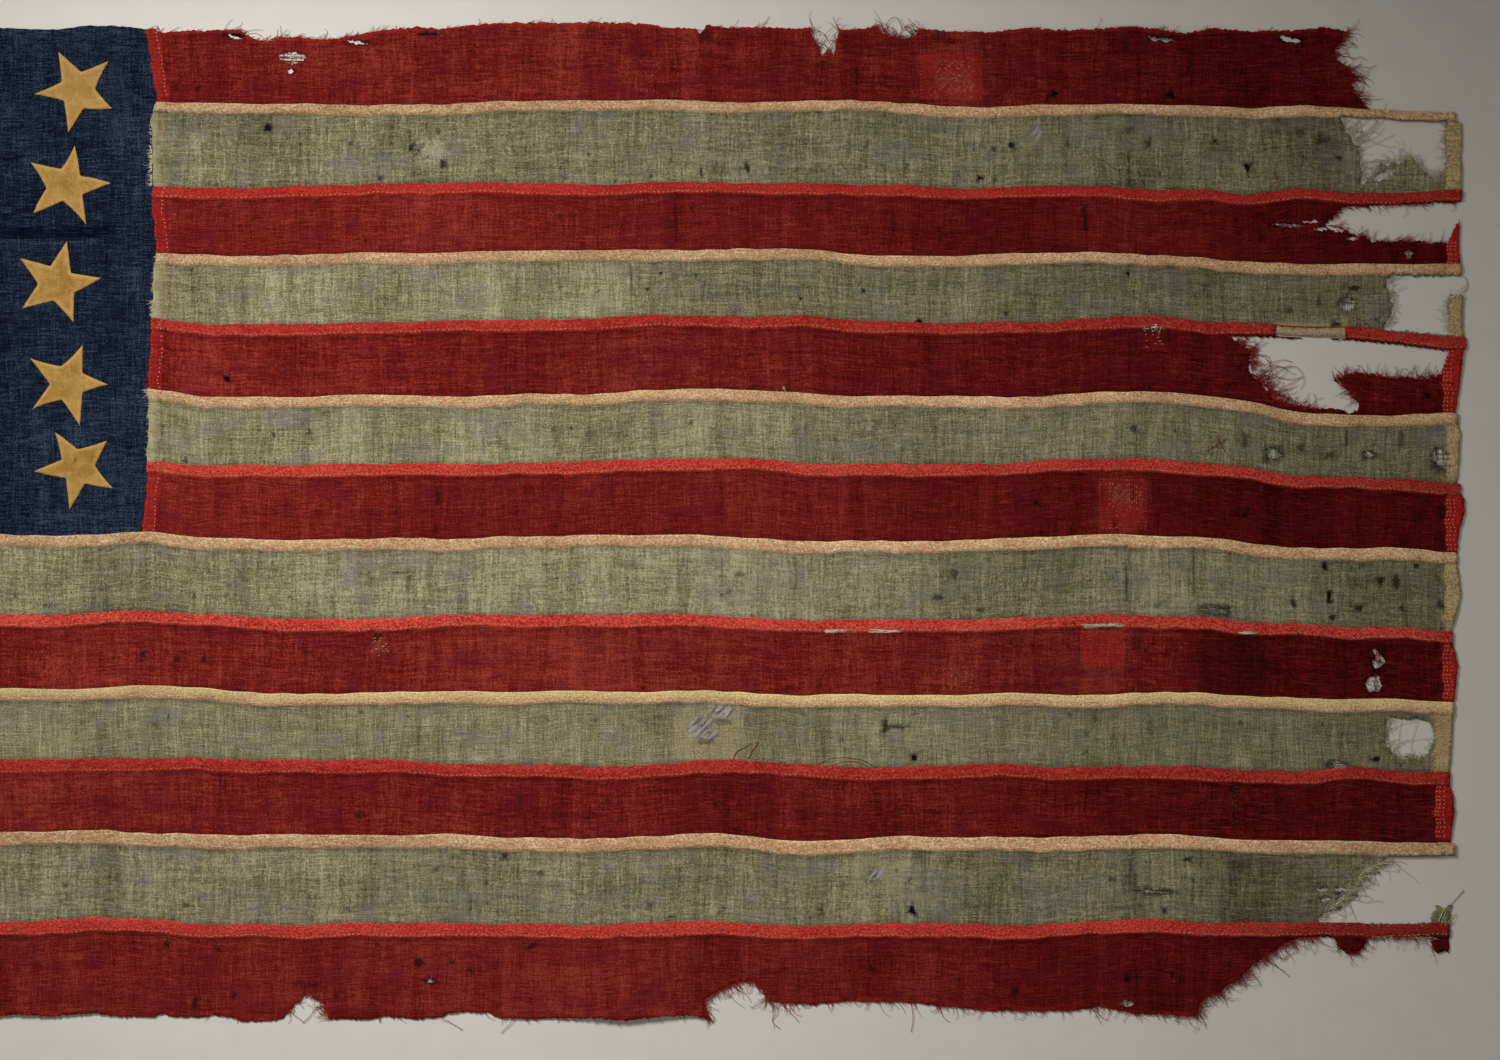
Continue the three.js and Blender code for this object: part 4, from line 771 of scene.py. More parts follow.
SPECKS = {}
for _i in range(1, 14):
    _g = np.random.default_rng(500 + _i)
    _n = (34 if _i >= 8 else 24) if _i % 2 == 0 else 13
    _u0 = HOIST_U + 20 if _i >= 8 else 175
    _list = []
    for _ in range(_n):
        su = _g.uniform(_u0, 1430)
        top = float(seam(_i, su)) + BAND[_i] + 4 if _i > 1 else 45
        low = float(seam(_i + 1, su)) - 3 if _i < 13 else 1005
        _list.append(("d", su, _g.uniform(top, low), _g.uniform(0.7, 1.6), _g.uniform(0.8, 2.4), _g.uniform(0.22, 0.6)))
    for _ in range(_n // 4):
        su = _g.uniform(_u0, 1430)
        top = float(seam(_i, su)) + BAND[_i] + 12 if _i > 1 else 55
        low = float(seam(_i + 1, su)) - 14 if _i < 13 else 990
        _list.append(("d", su, _g.uniform(top, low), _g.uniform(0.5, 0.8), _g.uniform(6, 16), _g.uniform(0.2, 0.4)))
    SPECKS[_i] = _list
    MARKS[_i] = MARKS.get(_i, []) + _list


# -------------------------------------------------------------------- pieces
def stripe_height(i, u, v):
    """Top surface of stripe i in mm above the surface below the flag."""
    top = PANEL_TOP + np.zeros(len(u))
    if i > 1:
        t, b = seam(i, u), band_low(i, u)
        lift = smooth(b + 1.7, b, v)
        top += (BAND_TOP - PANEL_TOP) * lift
        top -= 0.45 * smooth(t + 1.6, t, v)
        mid = np.clip((v - t) / np.maximum(b - t, 1), 0, 1)
        top += 0.22 * np.sin(np.pi * mid) * lift - 0.28 * np.exp(-(((v - b + 1.6) / 0.9) ** 2)) * (0.6 + 0.4 * np.sin(u * 2 * np.pi / 4.4))
    if i < 8:
        e = left_edge(v)
        over = smooth(e + LAP_U + 2.2, e + LAP_U, u)
        top += (BAND_TOP - PANEL_TOP) * over - 0.4 * smooth(e + 1.6, e, u)
    if i == 8:
        e = left_edge(v)
        over = smooth(e - 8, e - 3, u) * smooth(e + LAP_U + 3.4, e + LAP_U + 1.0, u)
        top += (BAND_TOP - PANEL_TOP) * over * smooth(band_low(8, u) + 1.7, band_low(8, u), v)
    if i in HEM:
        hu, v0, v1 = HEM[i]
        inner = hu + 0.8 * np.sin(v / 3.1) + 0.6 * np.sin(v / 7.7)
        top += 0.9 * smooth(inner - 0.6, inner + 1.0, u) * smooth(v0 - 1, v0 + 3, v) * smooth(v1 + 1, v1 - 3, v)
    if i >= 8:
        top += 0.6 * smooth(HOIST_U + 14.5, HOIST_U + 12.5, u)
    return top + ripple(u, v) + uneven(u, v)


def edge_zone(i, u, v):
    if i < 8:
        e = left_edge(v)
        hem = smooth(e + LAP_U + 1.6, e + LAP_U + 0.4, u) * (0.34 if i % 2 else 0.16)
    else:
        hem = 0.6 * smooth(HOIST_U + 14, HOIST_U + 13, u)
    if i == 4:
        a, b = BAND_GAP[5]
        hem = np.maximum(hem, smooth(a - 3, a, u) * smooth(b + 3, b, u) * smooth(seam(5, u) - 2, seam(5, u) + 1, v))
    if i == 1:
        rim = np.interp(u, [p[0] for p in TOP_EDGE[:90] if p[0] < 1345], [p[1] for p in TOP_EDGE[:90] if p[0] < 1345])
        hem = np.maximum(hem, 0.5 * smooth(rim + 2.6, rim + 0.7, v) * smooth(1340, 1325, u))
    if i == 13:
        rim = np.interp(u, [p[0] for p in BOTTOM_EDGE[:75]], [p[1] for p in BOTTOM_EDGE[:75]])
        hem = np.maximum(hem, 0.5 * smooth(rim - 2.6, rim - 0.7, v) * smooth(1290, 1270, u))
    if i in HEM:
        hu, v0, v1 = HEM[i]
        inner = hu + 0.8 * np.sin(v / 3.1) + 0.6 * np.sin(v / 7.7)
        hem = np.maximum(hem, smooth(inner - 0.8, inner + 0.4, u) * smooth(v0 - 2, v0, v) * smooth(v1 + 2, v1, v))
    return hem


def stripe_piece(i):
    if i < 8:
        us = np.arange(148.0, 1472, 5.2)
    else:
        us = np.arange(HOIST_U, 1472, 5.2)
    cols = []
    for u in us:
        t = float(seam(i, u)) if i > 1 else 20.0
        b = float(band_low(i, u)) if i > 1 else t
        t2 = float(seam(i + 1, u)) if i < 13 else 1024.0
        b2 = float(band_low(i + 1, u)) - 0.4 if i < 13 else t2
        rows = [t + 1.5, t + 4.2, b - 3.6, b - 1.6, b - 0.2, b + 1.9] if i > 1 else []
        lo = b + 2 if i > 1 else t
        n = max(8, int(round((t2 - lo) / 4.8)))
        rows += list(np.linspace(lo, t2, n + 1)[1:])
        if i < 13:
            rows += [(t2 + b2) / 2]
        cols += [(u, r) for r in rows]
    pts = np.array(cols)
    jit = rng.normal(0, 0.25, (len(pts), 2))
    jit[:, 1] *= 0.2
    pts = pts + jit
    # Outline.
    uu = np.arange(us[0], 1440, 4.0)
    outline = []
    if i == 1:
        outline += ragged(TOP_EDGE, 2.4, 0.55, closed=False, seed=3)
        outline += FLY[1][1:]
    else:
        ends = FLY[i][0][0]
        uu_t = np.arange(float(left_edge(seam(i, 150.0))) if i < 8 else HOIST_U, ends - 2, 4.0)
        outline += [(u, float(seam(i, u))) for u in uu_t]
        fly = [p for p in FLY[i]]
        fly[0] = (ends, float(seam(i, ends)) + 0.3)
        outline += ragged(fly, 2.5, 0.28, closed=False, seed=i)
    if i < 13:
        start = FLY[i][-1][0] - 2 if i > 1 else 1374.0
        vs_end = [(u, float(band_low(i + 1, u)) - 0.4) for u in np.arange(start, float(left_edge(seam(i + 1, 150.0))) if i < 8 else HOIST_U, -4.0)]
        # The fly polyline runs to this stripe's lower allowance.
        low_v = vs_end[0][1]
        while len(outline) and outline[-1][1] > low_v - 0.5 and outline[-1][0] > start - 4:
            outline.pop()
        outline += [(start + 1.5, low_v - 0.4)] + vs_end
        if i < 8:
            vt = outline[0][1]
            vb = outline[-1][1]
            outline += [(float(left_edge(v)), v) for v in np.arange(vb - 2, vt + 1, -2.4)]
        else:
            vb, vt = outline[-1][1], outline[0][1]
            outline += [(HOIST_U, v) for v in np.arange(vb - 4, vt + 2, -4.0)]
    else:
        low = ragged(BOTTOM_EDGE[::-1], 2.4, 0.5, closed=False, seed=13)
        while outline and outline[-1][1] > 925:
            outline.pop()
        outline += low
        vt = outline[0][1]
        outline += [(HOIST_U, v) for v in np.arange(low[-1][1] - 4, vt + 2, -4.0)]
    holes = []
    for k, h in enumerate(TORN.get(i, [])):
        h = ragged(h, 1.7, 0.75, seed=i * 20 + k)
        if i > 1:  # tears stop at the doubled seam
            low = band_low(i, np.array([p[0] for p in h])) + 0.35
            h = [(p[0], max(p[1], float(b))) for p, b in zip(h, low)]
        holes.append(h)
    if i in BAND_GAP:  # the seam's cover is gone here, and the white turning below it shows
        a, b = BAND_GAP[i]
        run = np.arange(a, b, 2.4)
        holes.append([(u + rng.normal() * 0.3, float(seam(i, u)) + 1.0 + rng.normal() * 0.3) for u in run] + [(u, float(band_low(i, u)) + 1.2) for u in run[::-1]])
    extra = []
    for kind, mu, mv, a, b, s in MARKS.get(i, []):
        if kind == "d" and a * b < 60:
            nu, nv = max(2, int(a / 1.1)), max(2, int(b / 1.3))
            for x in np.linspace(-1.25, 1.25, 2 * nu + 1):
                for y in np.linspace(-1.25, 1.25, 2 * nv + 1):
                    if x * x + y * y < 1.7:
                        extra.append((mu + a * x, mv + b * y))
    if i < 8:  # rows across the left lap
        for v in np.arange(float(seam(i, 150)) if i > 1 else 31, float(band_low(i + 1, 150)), 2.6):
            e = float(left_edge(v))
            extra += [(e + d, v) for d in (1.5, 5, 9, 12, 14.3)]
    for pi, u0, u1, v0, v1 in PATCHES:  # so that a repair piece's sides read as lines
        if pi == i:
            for d in (1.6, 3.0, 4.4):
                extra += [(x, y) for y in np.arange(v0 + d, v1 - d, 2.6) for x in (u0 + d, u1 - d)]
                extra += [(x, y) for x in np.arange(u0 + d, u1 - d, 2.6) for y in (v0 + d, v1 - d)]
            extra += [(x, y) for x in np.arange(u0 + 8, u1 - 6, 2.8) for y in np.arange(v0 + 8, v1 - 6, 2.8)]
    for kind, mu, mv, a, b, s in MARKS.get(i, []):
        if kind == "s":
            for k in (0.9, 1.0, 1.1):
                extra += [(mu + sx * a * k, y) for y in np.arange(mv - b, mv + b, 2.4) for sx in (-1, 1)]
    if i in HEM:
        hu, v0, v1 = HEM[i]
        for v in np.arange(v0, v1, 3.0):
            extra += [(hu + d, v) for d in (-1.2, 0.4, 2, 6, 10, 13)]
    pts = np.concatenate([pts, np.array(extra)]) if extra else pts
    x, y = pts[:, 0], pts[:, 1]
    ok = inside(outline, x, y)
    for h in holes:
        ok &= ~inside(h, x, y)
    pts = pts[ok]
    # Nothing closer than a step to the outline.
    border = np.array(outline + [p for h in holes for p in h])
    from mathutils.kdtree import KDTree

    tree = KDTree(len(border))
    for k, p in enumerate(border):
        tree.insert((p[0], p[1], 0), k)
    tree.balance()
    far = np.array([tree.find((p[0], p[1], 0))[2] > 0.9 for p in pts])
    pts = pts[far]

    def keep(x, y):
        k = inside(outline, x, y)
        for h in holes:
            k &= ~inside(h, x, y)
        return k

    v2, f = triangulate([outline] + holes, pts, keep)
    v2, f = largest_part(v2, f)
    u, v = v2[:, 0], v2[:, 1]
    top = stripe_height(i, u, v)
    mat = RED if i % 2 else WHITE
    ob, src, area = sheet_mesh(f"cloth_stripe_{i:02d}", v2, f, top, THICK, mat)
    t = seam(i, u) if i > 1 else np.full(len(u), 20.0)
    b = band_low(i, u) if i > 1 else t - 1
    local = v - t
    set_attr(ob, "cuv", np.stack([u, local, np.full(len(u), i * 3.7)], 1)[src])
    band = smooth(b + 0.5, b - 0.4, v) if i > 1 else np.zeros(len(u))
    marks = painted(i, u, v)
    if i in (2, 4, 6):  # pale worn edge over the canton
        e = left_edge(v)
        marks["p"] = np.maximum(marks["p"], 0.42 * smooth(e + 10, e + 2, u) * (0.7 + 0.3 * np.sin(v / 3.3)))
    # Tone along the stripe with painted light: the seams lighter toward the fly, the reds darker toward the fly.
    tone_and_painted_light = np.where(band > 0.02, seam_tone_and_painted_light(i, u) * band + tones(i, u, v, local) * (1 - band), tones(i, u, v, local))
    set_attr(ob, "zone", np.stack([band, edge_zone(i, u, v), tone_and_painted_light], 1)[src])
    off_band = 1 - 0.7 * band
    # Painted shadow: a dark line on the panel just below each seam's lower edge.
    painted_shadow_below_seam = 0.42 * smooth(b + 2.4, b + 0.6, v) * (1 - band) if i > 1 else 0
    t2 = seam(i + 1, u) if i < 13 else np.full(len(u), 2000.0)
    # Painted shade: a dark line on the panel just above the next seam.
    over = 0.30 * smooth(t2 - 1.8, t2 - 0.2, v)
    if i == 4:
        over = over * (1 - smooth(BAND_GAP[5][0] - 2, BAND_GAP[5][0], u) * smooth(BAND_GAP[5][1] + 2, BAND_GAP[5][1], u))
    # dark holds the dark marks together with these painted shadow lines.
    dark = np.maximum(np.maximum(marks["d"] * off_band, painted_shadow_below_seam), over)
    set_attr(ob, "spot", np.stack([dark, marks["p"], marks["b"]], 1)[src])
    set_attr(ob, "fell", np.stack([b - v, patch_mask(i, u, v), np.full(len(u), BAND_TINT.get(i, 0))], 1)[src])
    return ob, area


def canton_piece():
    us = np.arange(HOIST_U, 168, 6.5)
    outline = ragged([p for p in CANTON_TOP], 4.0, 0.25, closed=False, seed=41)
    low = seam(8, 150.0)
    right = [(float(left_edge(v)) + 11.2, v) for v in np.arange(33, float(low) + 8, 4.0)]
    outline = [p for p in outline if p[0] < right[0][0] - 3] + right
    outline += [(u, float(band_low(8, u)) - 0.5) for u in np.arange(right[-1][0] - 2, HOIST_U, -4.0)]
    outline += [(HOIST_U, v) for v in np.arange(540, 32, -5.0)]
    pts = []
    for u in us:
        for v in np.arange(34, float(band_low(8, u)) - 3, 6.5):
            pts.append((u, v))
    for v in np.arange(CREASE_V - 12, CREASE_V + 12, 1.8):
        pts += [(u, v) for u in np.arange(-340, 145, 6.5)]
    pts = np.array(pts) + rng.normal(0, 0.25, (len(pts), 2))
    ok = inside(outline, pts[:, 0], pts[:, 1])
    pts = pts[ok]
    v2, f = triangulate([outline], pts, lambda x, y: inside(outline, x, y))
    u, v = v2[:, 0], v2[:, 1]
    top = canton_height(u, v)
    ob, src, area = sheet_mesh("cloth_canton", v2, f, top, THICK, BLUE)
    set_attr(ob, "cuv", np.stack([u, v, np.full(len(u), 77.0)], 1)[src])
    tone_and_painted_light = 0.3 * smooth(30, 8, np.abs(v - 60)) * smooth(-20, 60, u) * 0 + 0.10 * wavy(u, v, 91, 130, 90)
    # Painted shade and highlight along the canton's fold and creases: darker lines at v 232, 158 and 347, lighter lines
    # at 241 and 513.
    for cv, w, s, u0, u1 in ((232, 9, -0.9, -60, 112), (158, 5, -0.5, -60, 28), (241, 4, 0.5, -60, 105), (513, 4, 0.3, 60, 140), (347, 3, -0.25, -30, 60)):
        tone_and_painted_light += s * smooth(w, w * 0.2, np.abs(v - cv - 1.5 * np.sin(u / 31))) * smooth(u0 - 30, u0 + 10, u) * smooth(u1 + 12, u1 - 12, u)
    dark = 0.8 * smooth(4, 1.5, np.hypot(u - 40, v - 429)) + 0.35 * smooth(2.2, 0.8, np.abs(u - 88 - 2 * np.sin(v / 17))) * smooth(500, 380, v) * 0
    set_attr(ob, "zone", np.stack([np.zeros(len(u)), smooth(HOIST_U + 14, HOIST_U + 13, u), tone_and_painted_light], 1)[src])
    set_attr(ob, "spot", np.stack([dark, np.zeros(len(u)), np.zeros(len(u))], 1)[src])
    set_attr(ob, "fell", np.zeros((len(src), 3)))
    return ob, area


def canton_height(u, v):
    top = PANEL_TOP + np.maximum(ripple(u, v) + uneven(u, v) + canton_creases(u, v), 0.02)
    return top + 0.6 * smooth(HOIST_U + 14.5, HOIST_U + 12.5, u)


def canton_creases(u, v):
    z = 0.5 * smooth(5, 0, np.abs(v - 513 - 2 * np.sin(u / 19))) * smooth(50, 75, u) * smooth(150, 130, u)
    z += 0.45 * smooth(4, 0, np.abs(v - 160 - 1.5 * np.sin(u / 13))) * smooth(-60, -20, u) * smooth(40, 15, u)
    z -= 0.3 * smooth(4, 0, np.abs(v - 347)) * smooth(-40, 0, u) * smooth(70, 30, u)
    return z


def star_outline(c, r):
    source = STARS[r if c == 0 else (r + 2 * c) % 5]
    cu, cv = sum(p[0] for p in source) / 10, sum(p[1] for p in source) / 10
    home = STARS[r]
    hu0, hv0 = sum(p[0] for p in home) / 10, sum(p[1] for p in home) / 10
    hu = cu if c == 0 else hu0 - STAR_PITCH * c + 2 * math.sin(5.1 * c + 2.3 * r)
    hv = cv if c == 0 else hv0 + 2.5 * math.sin(3.7 * c + 1.9 * r)
    turn = 0 if c == 0 else (((c * 2 + r * 3) % 5) - 2) * 0.21 + (c % 2) * 0.34
    size = 1 if c == 0 else 0.93
    out = []
    for u, v in source:
        du, dv = (u - cu) * size, (v - cv) * size
        out.append((hu + du * math.cos(turn) - dv * math.sin(turn), hv + du * math.sin(turn) + dv * math.cos(turn)))
    return out, (hu, hv)


def star_piece(c, r):
    tips, (hu, hv) = star_outline(c, r)
    g = np.random.default_rng(900 + c * 7 + r)
    outline = []
    for k in range(10):
        a, b = np.array(tips[k]), np.array(tips[(k + 1) % 10])
        n = 14
        d = b - a
        nrm = np.array([-d[1], d[0]]) / np.hypot(*d)
        bow = g.normal() * 0.5
        for j in range(n):
            t = j / n
            p = a + d * t + nrm * (bow * math.sin(math.pi * t) + g.normal() * 0.08)
            if j == 0:  # a blunt tip, and a soft notch
                p = a + (np.array([hu, hv]) - a) * (0.012 if k % 2 == 0 else -0.02)
            outline.append((p[0], p[1]))
    pts = []
    step = 2.6
    for x in np.arange(hu - 48, hu + 48, step):
        for y in np.arange(hv - 48, hv + 48, step):
            pts.append((x, y))
    border = np.array(outline)
    d = np.roll(border, -1, 0) - np.roll(border, 1, 0)
    nrm = np.stack([-d[:, 1], d[:, 0]], 1) / np.maximum(np.hypot(d[:, 0], d[:, 1]), 1e-6)[:, None]
    pts = np.concatenate([np.array(pts)] + [border + nrm * w for w in (0.8, 1.6, -0.8, -1.6)])
    pts = pts[inside(outline, pts[:, 0], pts[:, 1])]
    dist = np.hypot(border[None, :, 0] - pts[:, None, 0], border[None, :, 1] - pts[:, None, 1]).min(1)
    pts = pts[dist > 0.55]
    v2, f = triangulate([outline], pts, lambda x, y: inside(outline, x, y))
    u, v = v2[:, 0], v2[:, 1]
    # Distance to the outline, from its short segments.
    seg_a, seg_b = border, np.roll(border, -1, 0)
    ab = seg_b - seg_a
    ap = v2[:, None, :] - seg_a[None]
    t = np.clip((ap * ab).sum(2) / (ab * ab).sum(1), 0, 1)
    dd = np.sqrt(((ap - t[..., None] * ab) ** 2).sum(2)).min(1)
    puff = smooth(0, 1.8, dd)
    crumple = 0.16 * wavy(u, v, 300 + c * 11 + r, 21, 21, 7) + 0.10 * wavy(u, v, 400 + c * 11 + r, 9, 11, 5)
    top = canton_height(u, v) + 0.45 + 0.55 * puff + 0.16 * smooth(3.4, 1.6, dd) * puff + (crumple + 0.15) * puff
    ob, src, area = sheet_mesh(f"star_cloth_{c + 1}{r + 1}", v2, f, top, 0.4, STAR)
    set_attr(ob, "cuv", np.stack([u, v, np.full(len(u), 3.1 * c + 1.3 * r)], 1)[src])
    rim = smooth(3.6, 2.6, dd)
    stain = np.zeros(len(u))
    if (c, r) == (0, 4):
        stain = 0.9 * smooth(3.2, 1.0, np.hypot(u - 75.6, v - 460.3))
        stain = np.maximum(stain, 0.10)
    crease = np.full(len(u), {(0, 0): 0.3, (0, 1): 0.12}.get((c, r), 0.0))
    set_attr(ob, "zone", np.stack([rim * 0.7, crease, stain], 1)[src])
    return ob, area, outline


def patch_piece(k):
    i, u0, u1, v0, v1 = PATCHES[k]
    outline = ragged([(u0, v0), (u1, v0 + 1.5), (u1 - 1, v1), (u0 + 1, v1 - 1)], 2.5, 0.3, seed=60 + k)
    pts = np.array([(x, y) for x in np.arange(u0 + 3, u1 - 1, 4.0) for y in np.arange(v0 + 3, v1 - 1, 4.0)])
    pts = pts[inside(outline, pts[:, 0], pts[:, 1])]
    v2, f = triangulate([outline], pts, lambda x, y: inside(outline, x, y))
    u, v = v2[:, 0], v2[:, 1]
    top = stripe_height(i, u, v) - THICK - 0.25
    mat = RED if i % 2 else WHITE
    ob, src, area = sheet_mesh(f"patch_cloth_{k + 1}", v2, f, top, 0.5, mat)
    set_attr(ob, "cuv", np.stack([u, v - v0, np.full(len(u), 40.0 + k)], 1)[src])
    z = np.zeros((len(u), 3))
    z[:, 2] = 0.3
    set_attr(ob, "zone", z[src])
    set_attr(ob, "spot", np.zeros((len(src), 3)))
    set_attr(ob, "fell", np.zeros((len(src), 3)))
    return ob, area


def rest_on_root(ob, slot, *nodes):
    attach(ob, "root")
    if nodes:
        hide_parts(*nodes)


TALLY = {}
for i in range(1, 14):
    ob, area = stripe_piece(i)
    rest_on_root(ob, "red_bunting" if i % 2 else "white_bunting", f"stripe_{i:02d}")
    TALLY[ob.name] = len(ob.data.polygons)
ob, area = canton_piece()
rest_on_root(ob, "blue_bunting", "canton")
TALLY[ob.name] = len(ob.data.polygons)
STAR_OUTLINES = []
for c in range(STAR_COLUMNS):
    for r in range(5):
        ob, area, line = star_piece(c, r)
        STAR_OUTLINES.append(line)
        rest_on_root(ob, "star_cotton", f"star_{c + 1}{r + 1}")
        TALLY["stars"] = TALLY.get("stars", 0) + len(ob.data.polygons)
for k in range(len(PATCHES)):
    ob, area = patch_piece(k)
    i, u0, u1, v0, v1 = PATCHES[k]
    rest_on_root(ob, "patch_red" if i % 2 else "patch_white", f"patch_{k + 1}")

# ---------------------------------------------------------- threads, stitches
red_fray, white_fray = Strands(), Strands()
LEVELS = {}


def one_height(i, u, v):
    """Top of stripe i (0 is the canton) at one place, from a table of its own surface."""
    if i not in LEVELS:
        us = np.arange(HOIST_U - 4 if i >= 8 or i == 0 else 134, 1478, 1.0)
        if i == 0:
            us = us[us < 172]
        vs = np.arange(18 if i <= 1 else min(SEAM[i]) - 8, 560 if i == 0 else (1034 if i == 13 else max(SEAM[i + 1]) + 18), 0.7)
        uu, vv = np.meshgrid(us, vs)
        z = canton_height(uu.ravel(), vv.ravel()) if i == 0 else stripe_height(i, uu.ravel(), vv.ravel())
        LEVELS[i] = (us[0], vs[0], z.reshape(uu.shape))
    u0, v0, z = LEVELS[i]
    x = min(max(u - u0, 0), z.shape[1] - 1.001)
    y = min(max((v - v0) / 0.7, 0), z.shape[0] - 1.001)
    a, b = int(x), int(y)
    fx, fy = x - a, y - b
    return float((z[b, a] * (1 - fx) + z[b, a + 1] * fx) * (1 - fy) + (z[b + 1, a] * (1 - fx) + z[b + 1, a + 1] * fx) * fy)


def wisp(bag, g, i, p, direction, length, radius=0.34, curl=1.0, droop=True, tint=None, steps=7):
    """A loose thread end that lies from p along direction and down to the surface."""
    p = np.array(p, float)
    a = math.atan2(direction[1], direction[0])
    z0 = one_height(i, *p) - 0.25
    pts = [(*p, z0)]
    bend = g.normal() * 0.75 * curl * min(1.0, length / 12)
    turn = g.choice([-1, 1]) * g.uniform(0.1, 0.4) * curl
    for k in range(steps):
        t = (k + 1) / steps
        a += bend / steps + turn * t * t + g.normal() * 0.13 * curl
        p = p + np.array([math.cos(a), math.sin(a)]) * length / steps
        p[1] = min(max(p[1], 9.0), 1036.0)
        z = z0 * (1 - t) + 0.5 * t + 0.5 * math.sin(math.pi * t) * g.uniform(0.3, 1.4) if droop else z0 + 0.2 + 0.4 * math.sin(math.pi * t)
        pts.append((*p, max(z, 0.45)))
    bag.add(pts, radius, g.uniform(0.1, 1.0) if tint is None else tint, 3, 0.45)


def fray(bag, i, line, density, length, main, spread=0.35, inward=1.5, radius=0.32, seed=0, curl=1.0):
    """Loose ends along a torn line. main is the direction they run, or None to leave square to the line."""
    g = np.random.default_rng(seed)
    inward = min(inward, 0.7)
    for k in range(len(line) - 1):
        a, b = np.array(line[k], float), np.array(line[k + 1], float)
        d = b - a
        run = np.hypot(*d)
        n = g.poisson(run * density)
        for _ in range(n):
            p = a + d * g.random()
            if main is None:
                nrm = np.array([d[1], -d[0]]) / max(run, 1e-6)
            else:
                nrm = np.array(main, float)
            ang = math.atan2(nrm[1], nrm[0]) + g.normal() * spread
            dr = np.array([math.cos(ang), math.sin(ang)])
            ln = min(length * g.lognormal(-0.3, 0.5), length * 1.9)
            wisp(bag, g, i, p - dr * inward, dr, ln + inward, radius * g.uniform(0.9, 1.35), curl)
            if g.random() < 0.75:  # short fuzz beside it
                q = p + d / max(run, 1e-6) * g.normal() * 0.8
                a2 = ang + g.normal() * 0.35
                dr = np.array([math.cos(a2), math.sin(a2)])
                wisp(bag, g, i, q - dr * 0.5, dr, 0.5 + g.uniform(1.5, 4.5), radius * 0.9, curl, True, None, 3)


def cut(line, a, b):
    return line[a:b]


# Stripe 1: torn right end, worn top edge and its two gaps.
fray(red_fray, 1, [(1345, 31.6), (1342, 42), (1335, 50), (1336, 60), (1346, 66), (1352, 74), (1358, 77), (1351, 84), (1353, 92), (1360, 99), (1364.5, 106)], 1.5, 12, (1, 0.05), 0.45, 2, 0.3, 101)
fray(red_fray, 1, TOP_EDGE[:56], 0.09, 7, (1, -0.35), 0.5, 1.5, 0.28, 102)
fray(red_fray, 1, [(242, 32), (256, 41), (279, 38), (300, 38)], 0.5, 12, (1, -0.1), 0.4, 2, 0.28, 103)
fray(red_fray, 1, [(338, 39), (357, 35.4), (384, 30.6)], 0.35, 10, (1, -0.2), 0.4, 2, 0.28, 104)
for seg, seed in (([(811, 27), (815, 44), (821, 57)], 105), ([(836, 46), (839, 29)], 106), ([(821, 57), (827, 52), (833, 56)], 107)):
    fray(red_fray, 1, seg, 1.0, 14, (0.2 if seed != 106 else -0.6, -1), 0.7, 2, 0.28, seed, 1.6)
fray(red_fray, 1, [(880, 30), (893, 38), (908, 39), (918, 30)], 0.9, 13, (0.1, -1), 0.6, 2, 0.28, 108, 1.8)
fray(red_fray, 1, [(276, 58), (281, 62), (290, 64), (303, 62)], 0.6, 12, (1, -0.15), 0.4, 2, 0.26, 109)
# Stripe 2: right tear, what is left below it, and the hem's inner edge.
fray(white_fray, 2, [(1341, 116), (1344, 125), (1350, 136), (1358, 146), (1361, 157), (1360, 165), (1363, 172), (1361, 182)], 1.0, 11, (1, -0.12), 0.6, 2, 0.26, 111, 1.4)
fray(white_fray, 2, [(1348, 132), (1356, 146)], 0.9, 34, (1, -0.45), 0.3, 2, 0.38, 112, 1.6)
fray(white_fray, 2, [(1366, 182), (1372, 176), (1380, 162), (1393, 162), (1405, 158), (1416, 162), (1423, 170), (1433, 178), (1445, 171)], 1.3, 11, (0.1, -1), 0.9, 2, 0.26, 113, 1.8)
fray(white_fray, 2, [(1446, 165), (1446, 150), (1445, 138), (1446, 122)], 0.8, 8, (-1, -0.2), 0.6, 1.5, 0.26, 114)
fray(white_fray, 2, [(1374, 180), (1384, 178), (1396, 171)], 0.8, 10, (-0.2, -1), 0.9, 1.5, 0.26, 115)
# Stripe 3.
fray(red_fray, 3, [(1330, 221), (1337, 213), (1345, 208), (1364, 207), (1391, 205), (1430, 203), (1455, 203)], 0.55, 9, (0.9, 0.4), 0.5, 1.5, 0.26, 121)
fray(red_fray, 3, [(1338, 232), (1346, 231), (1356, 236), (1364, 235), (1372, 242), (1391, 242), (1410, 242), (1430, 244), (1446, 243)], 0.8, 9, (0.7, -0.7), 0.6, 1.5, 0.26, 122)
fray(red_fray, 3, [(1272, 225), (1307, 227)], 0.5, 16, (1, 0.05), 0.15, 2, 0.26, 123)
fray(red_fray, 3, [(1325, 225), (1340, 228)], 0.9, 22, (1, 0.05), 0.2, 2, 0.26, 124)
# Stripe 4.
fray(white_fray, 4, [(1391, 276), (1386, 286), (1391, 294), (1393, 305), (1391, 317), (1384, 327)], 1.1, 10, (1, -0.05), 0.6, 2, 0.26, 131, 1.4)
fray(white_fray, 4, [(1449, 332), (1448, 318), (1447, 306), (1449, 296)], 0.7, 8, (-1, 0), 0.6, 1.5, 0.26, 132)
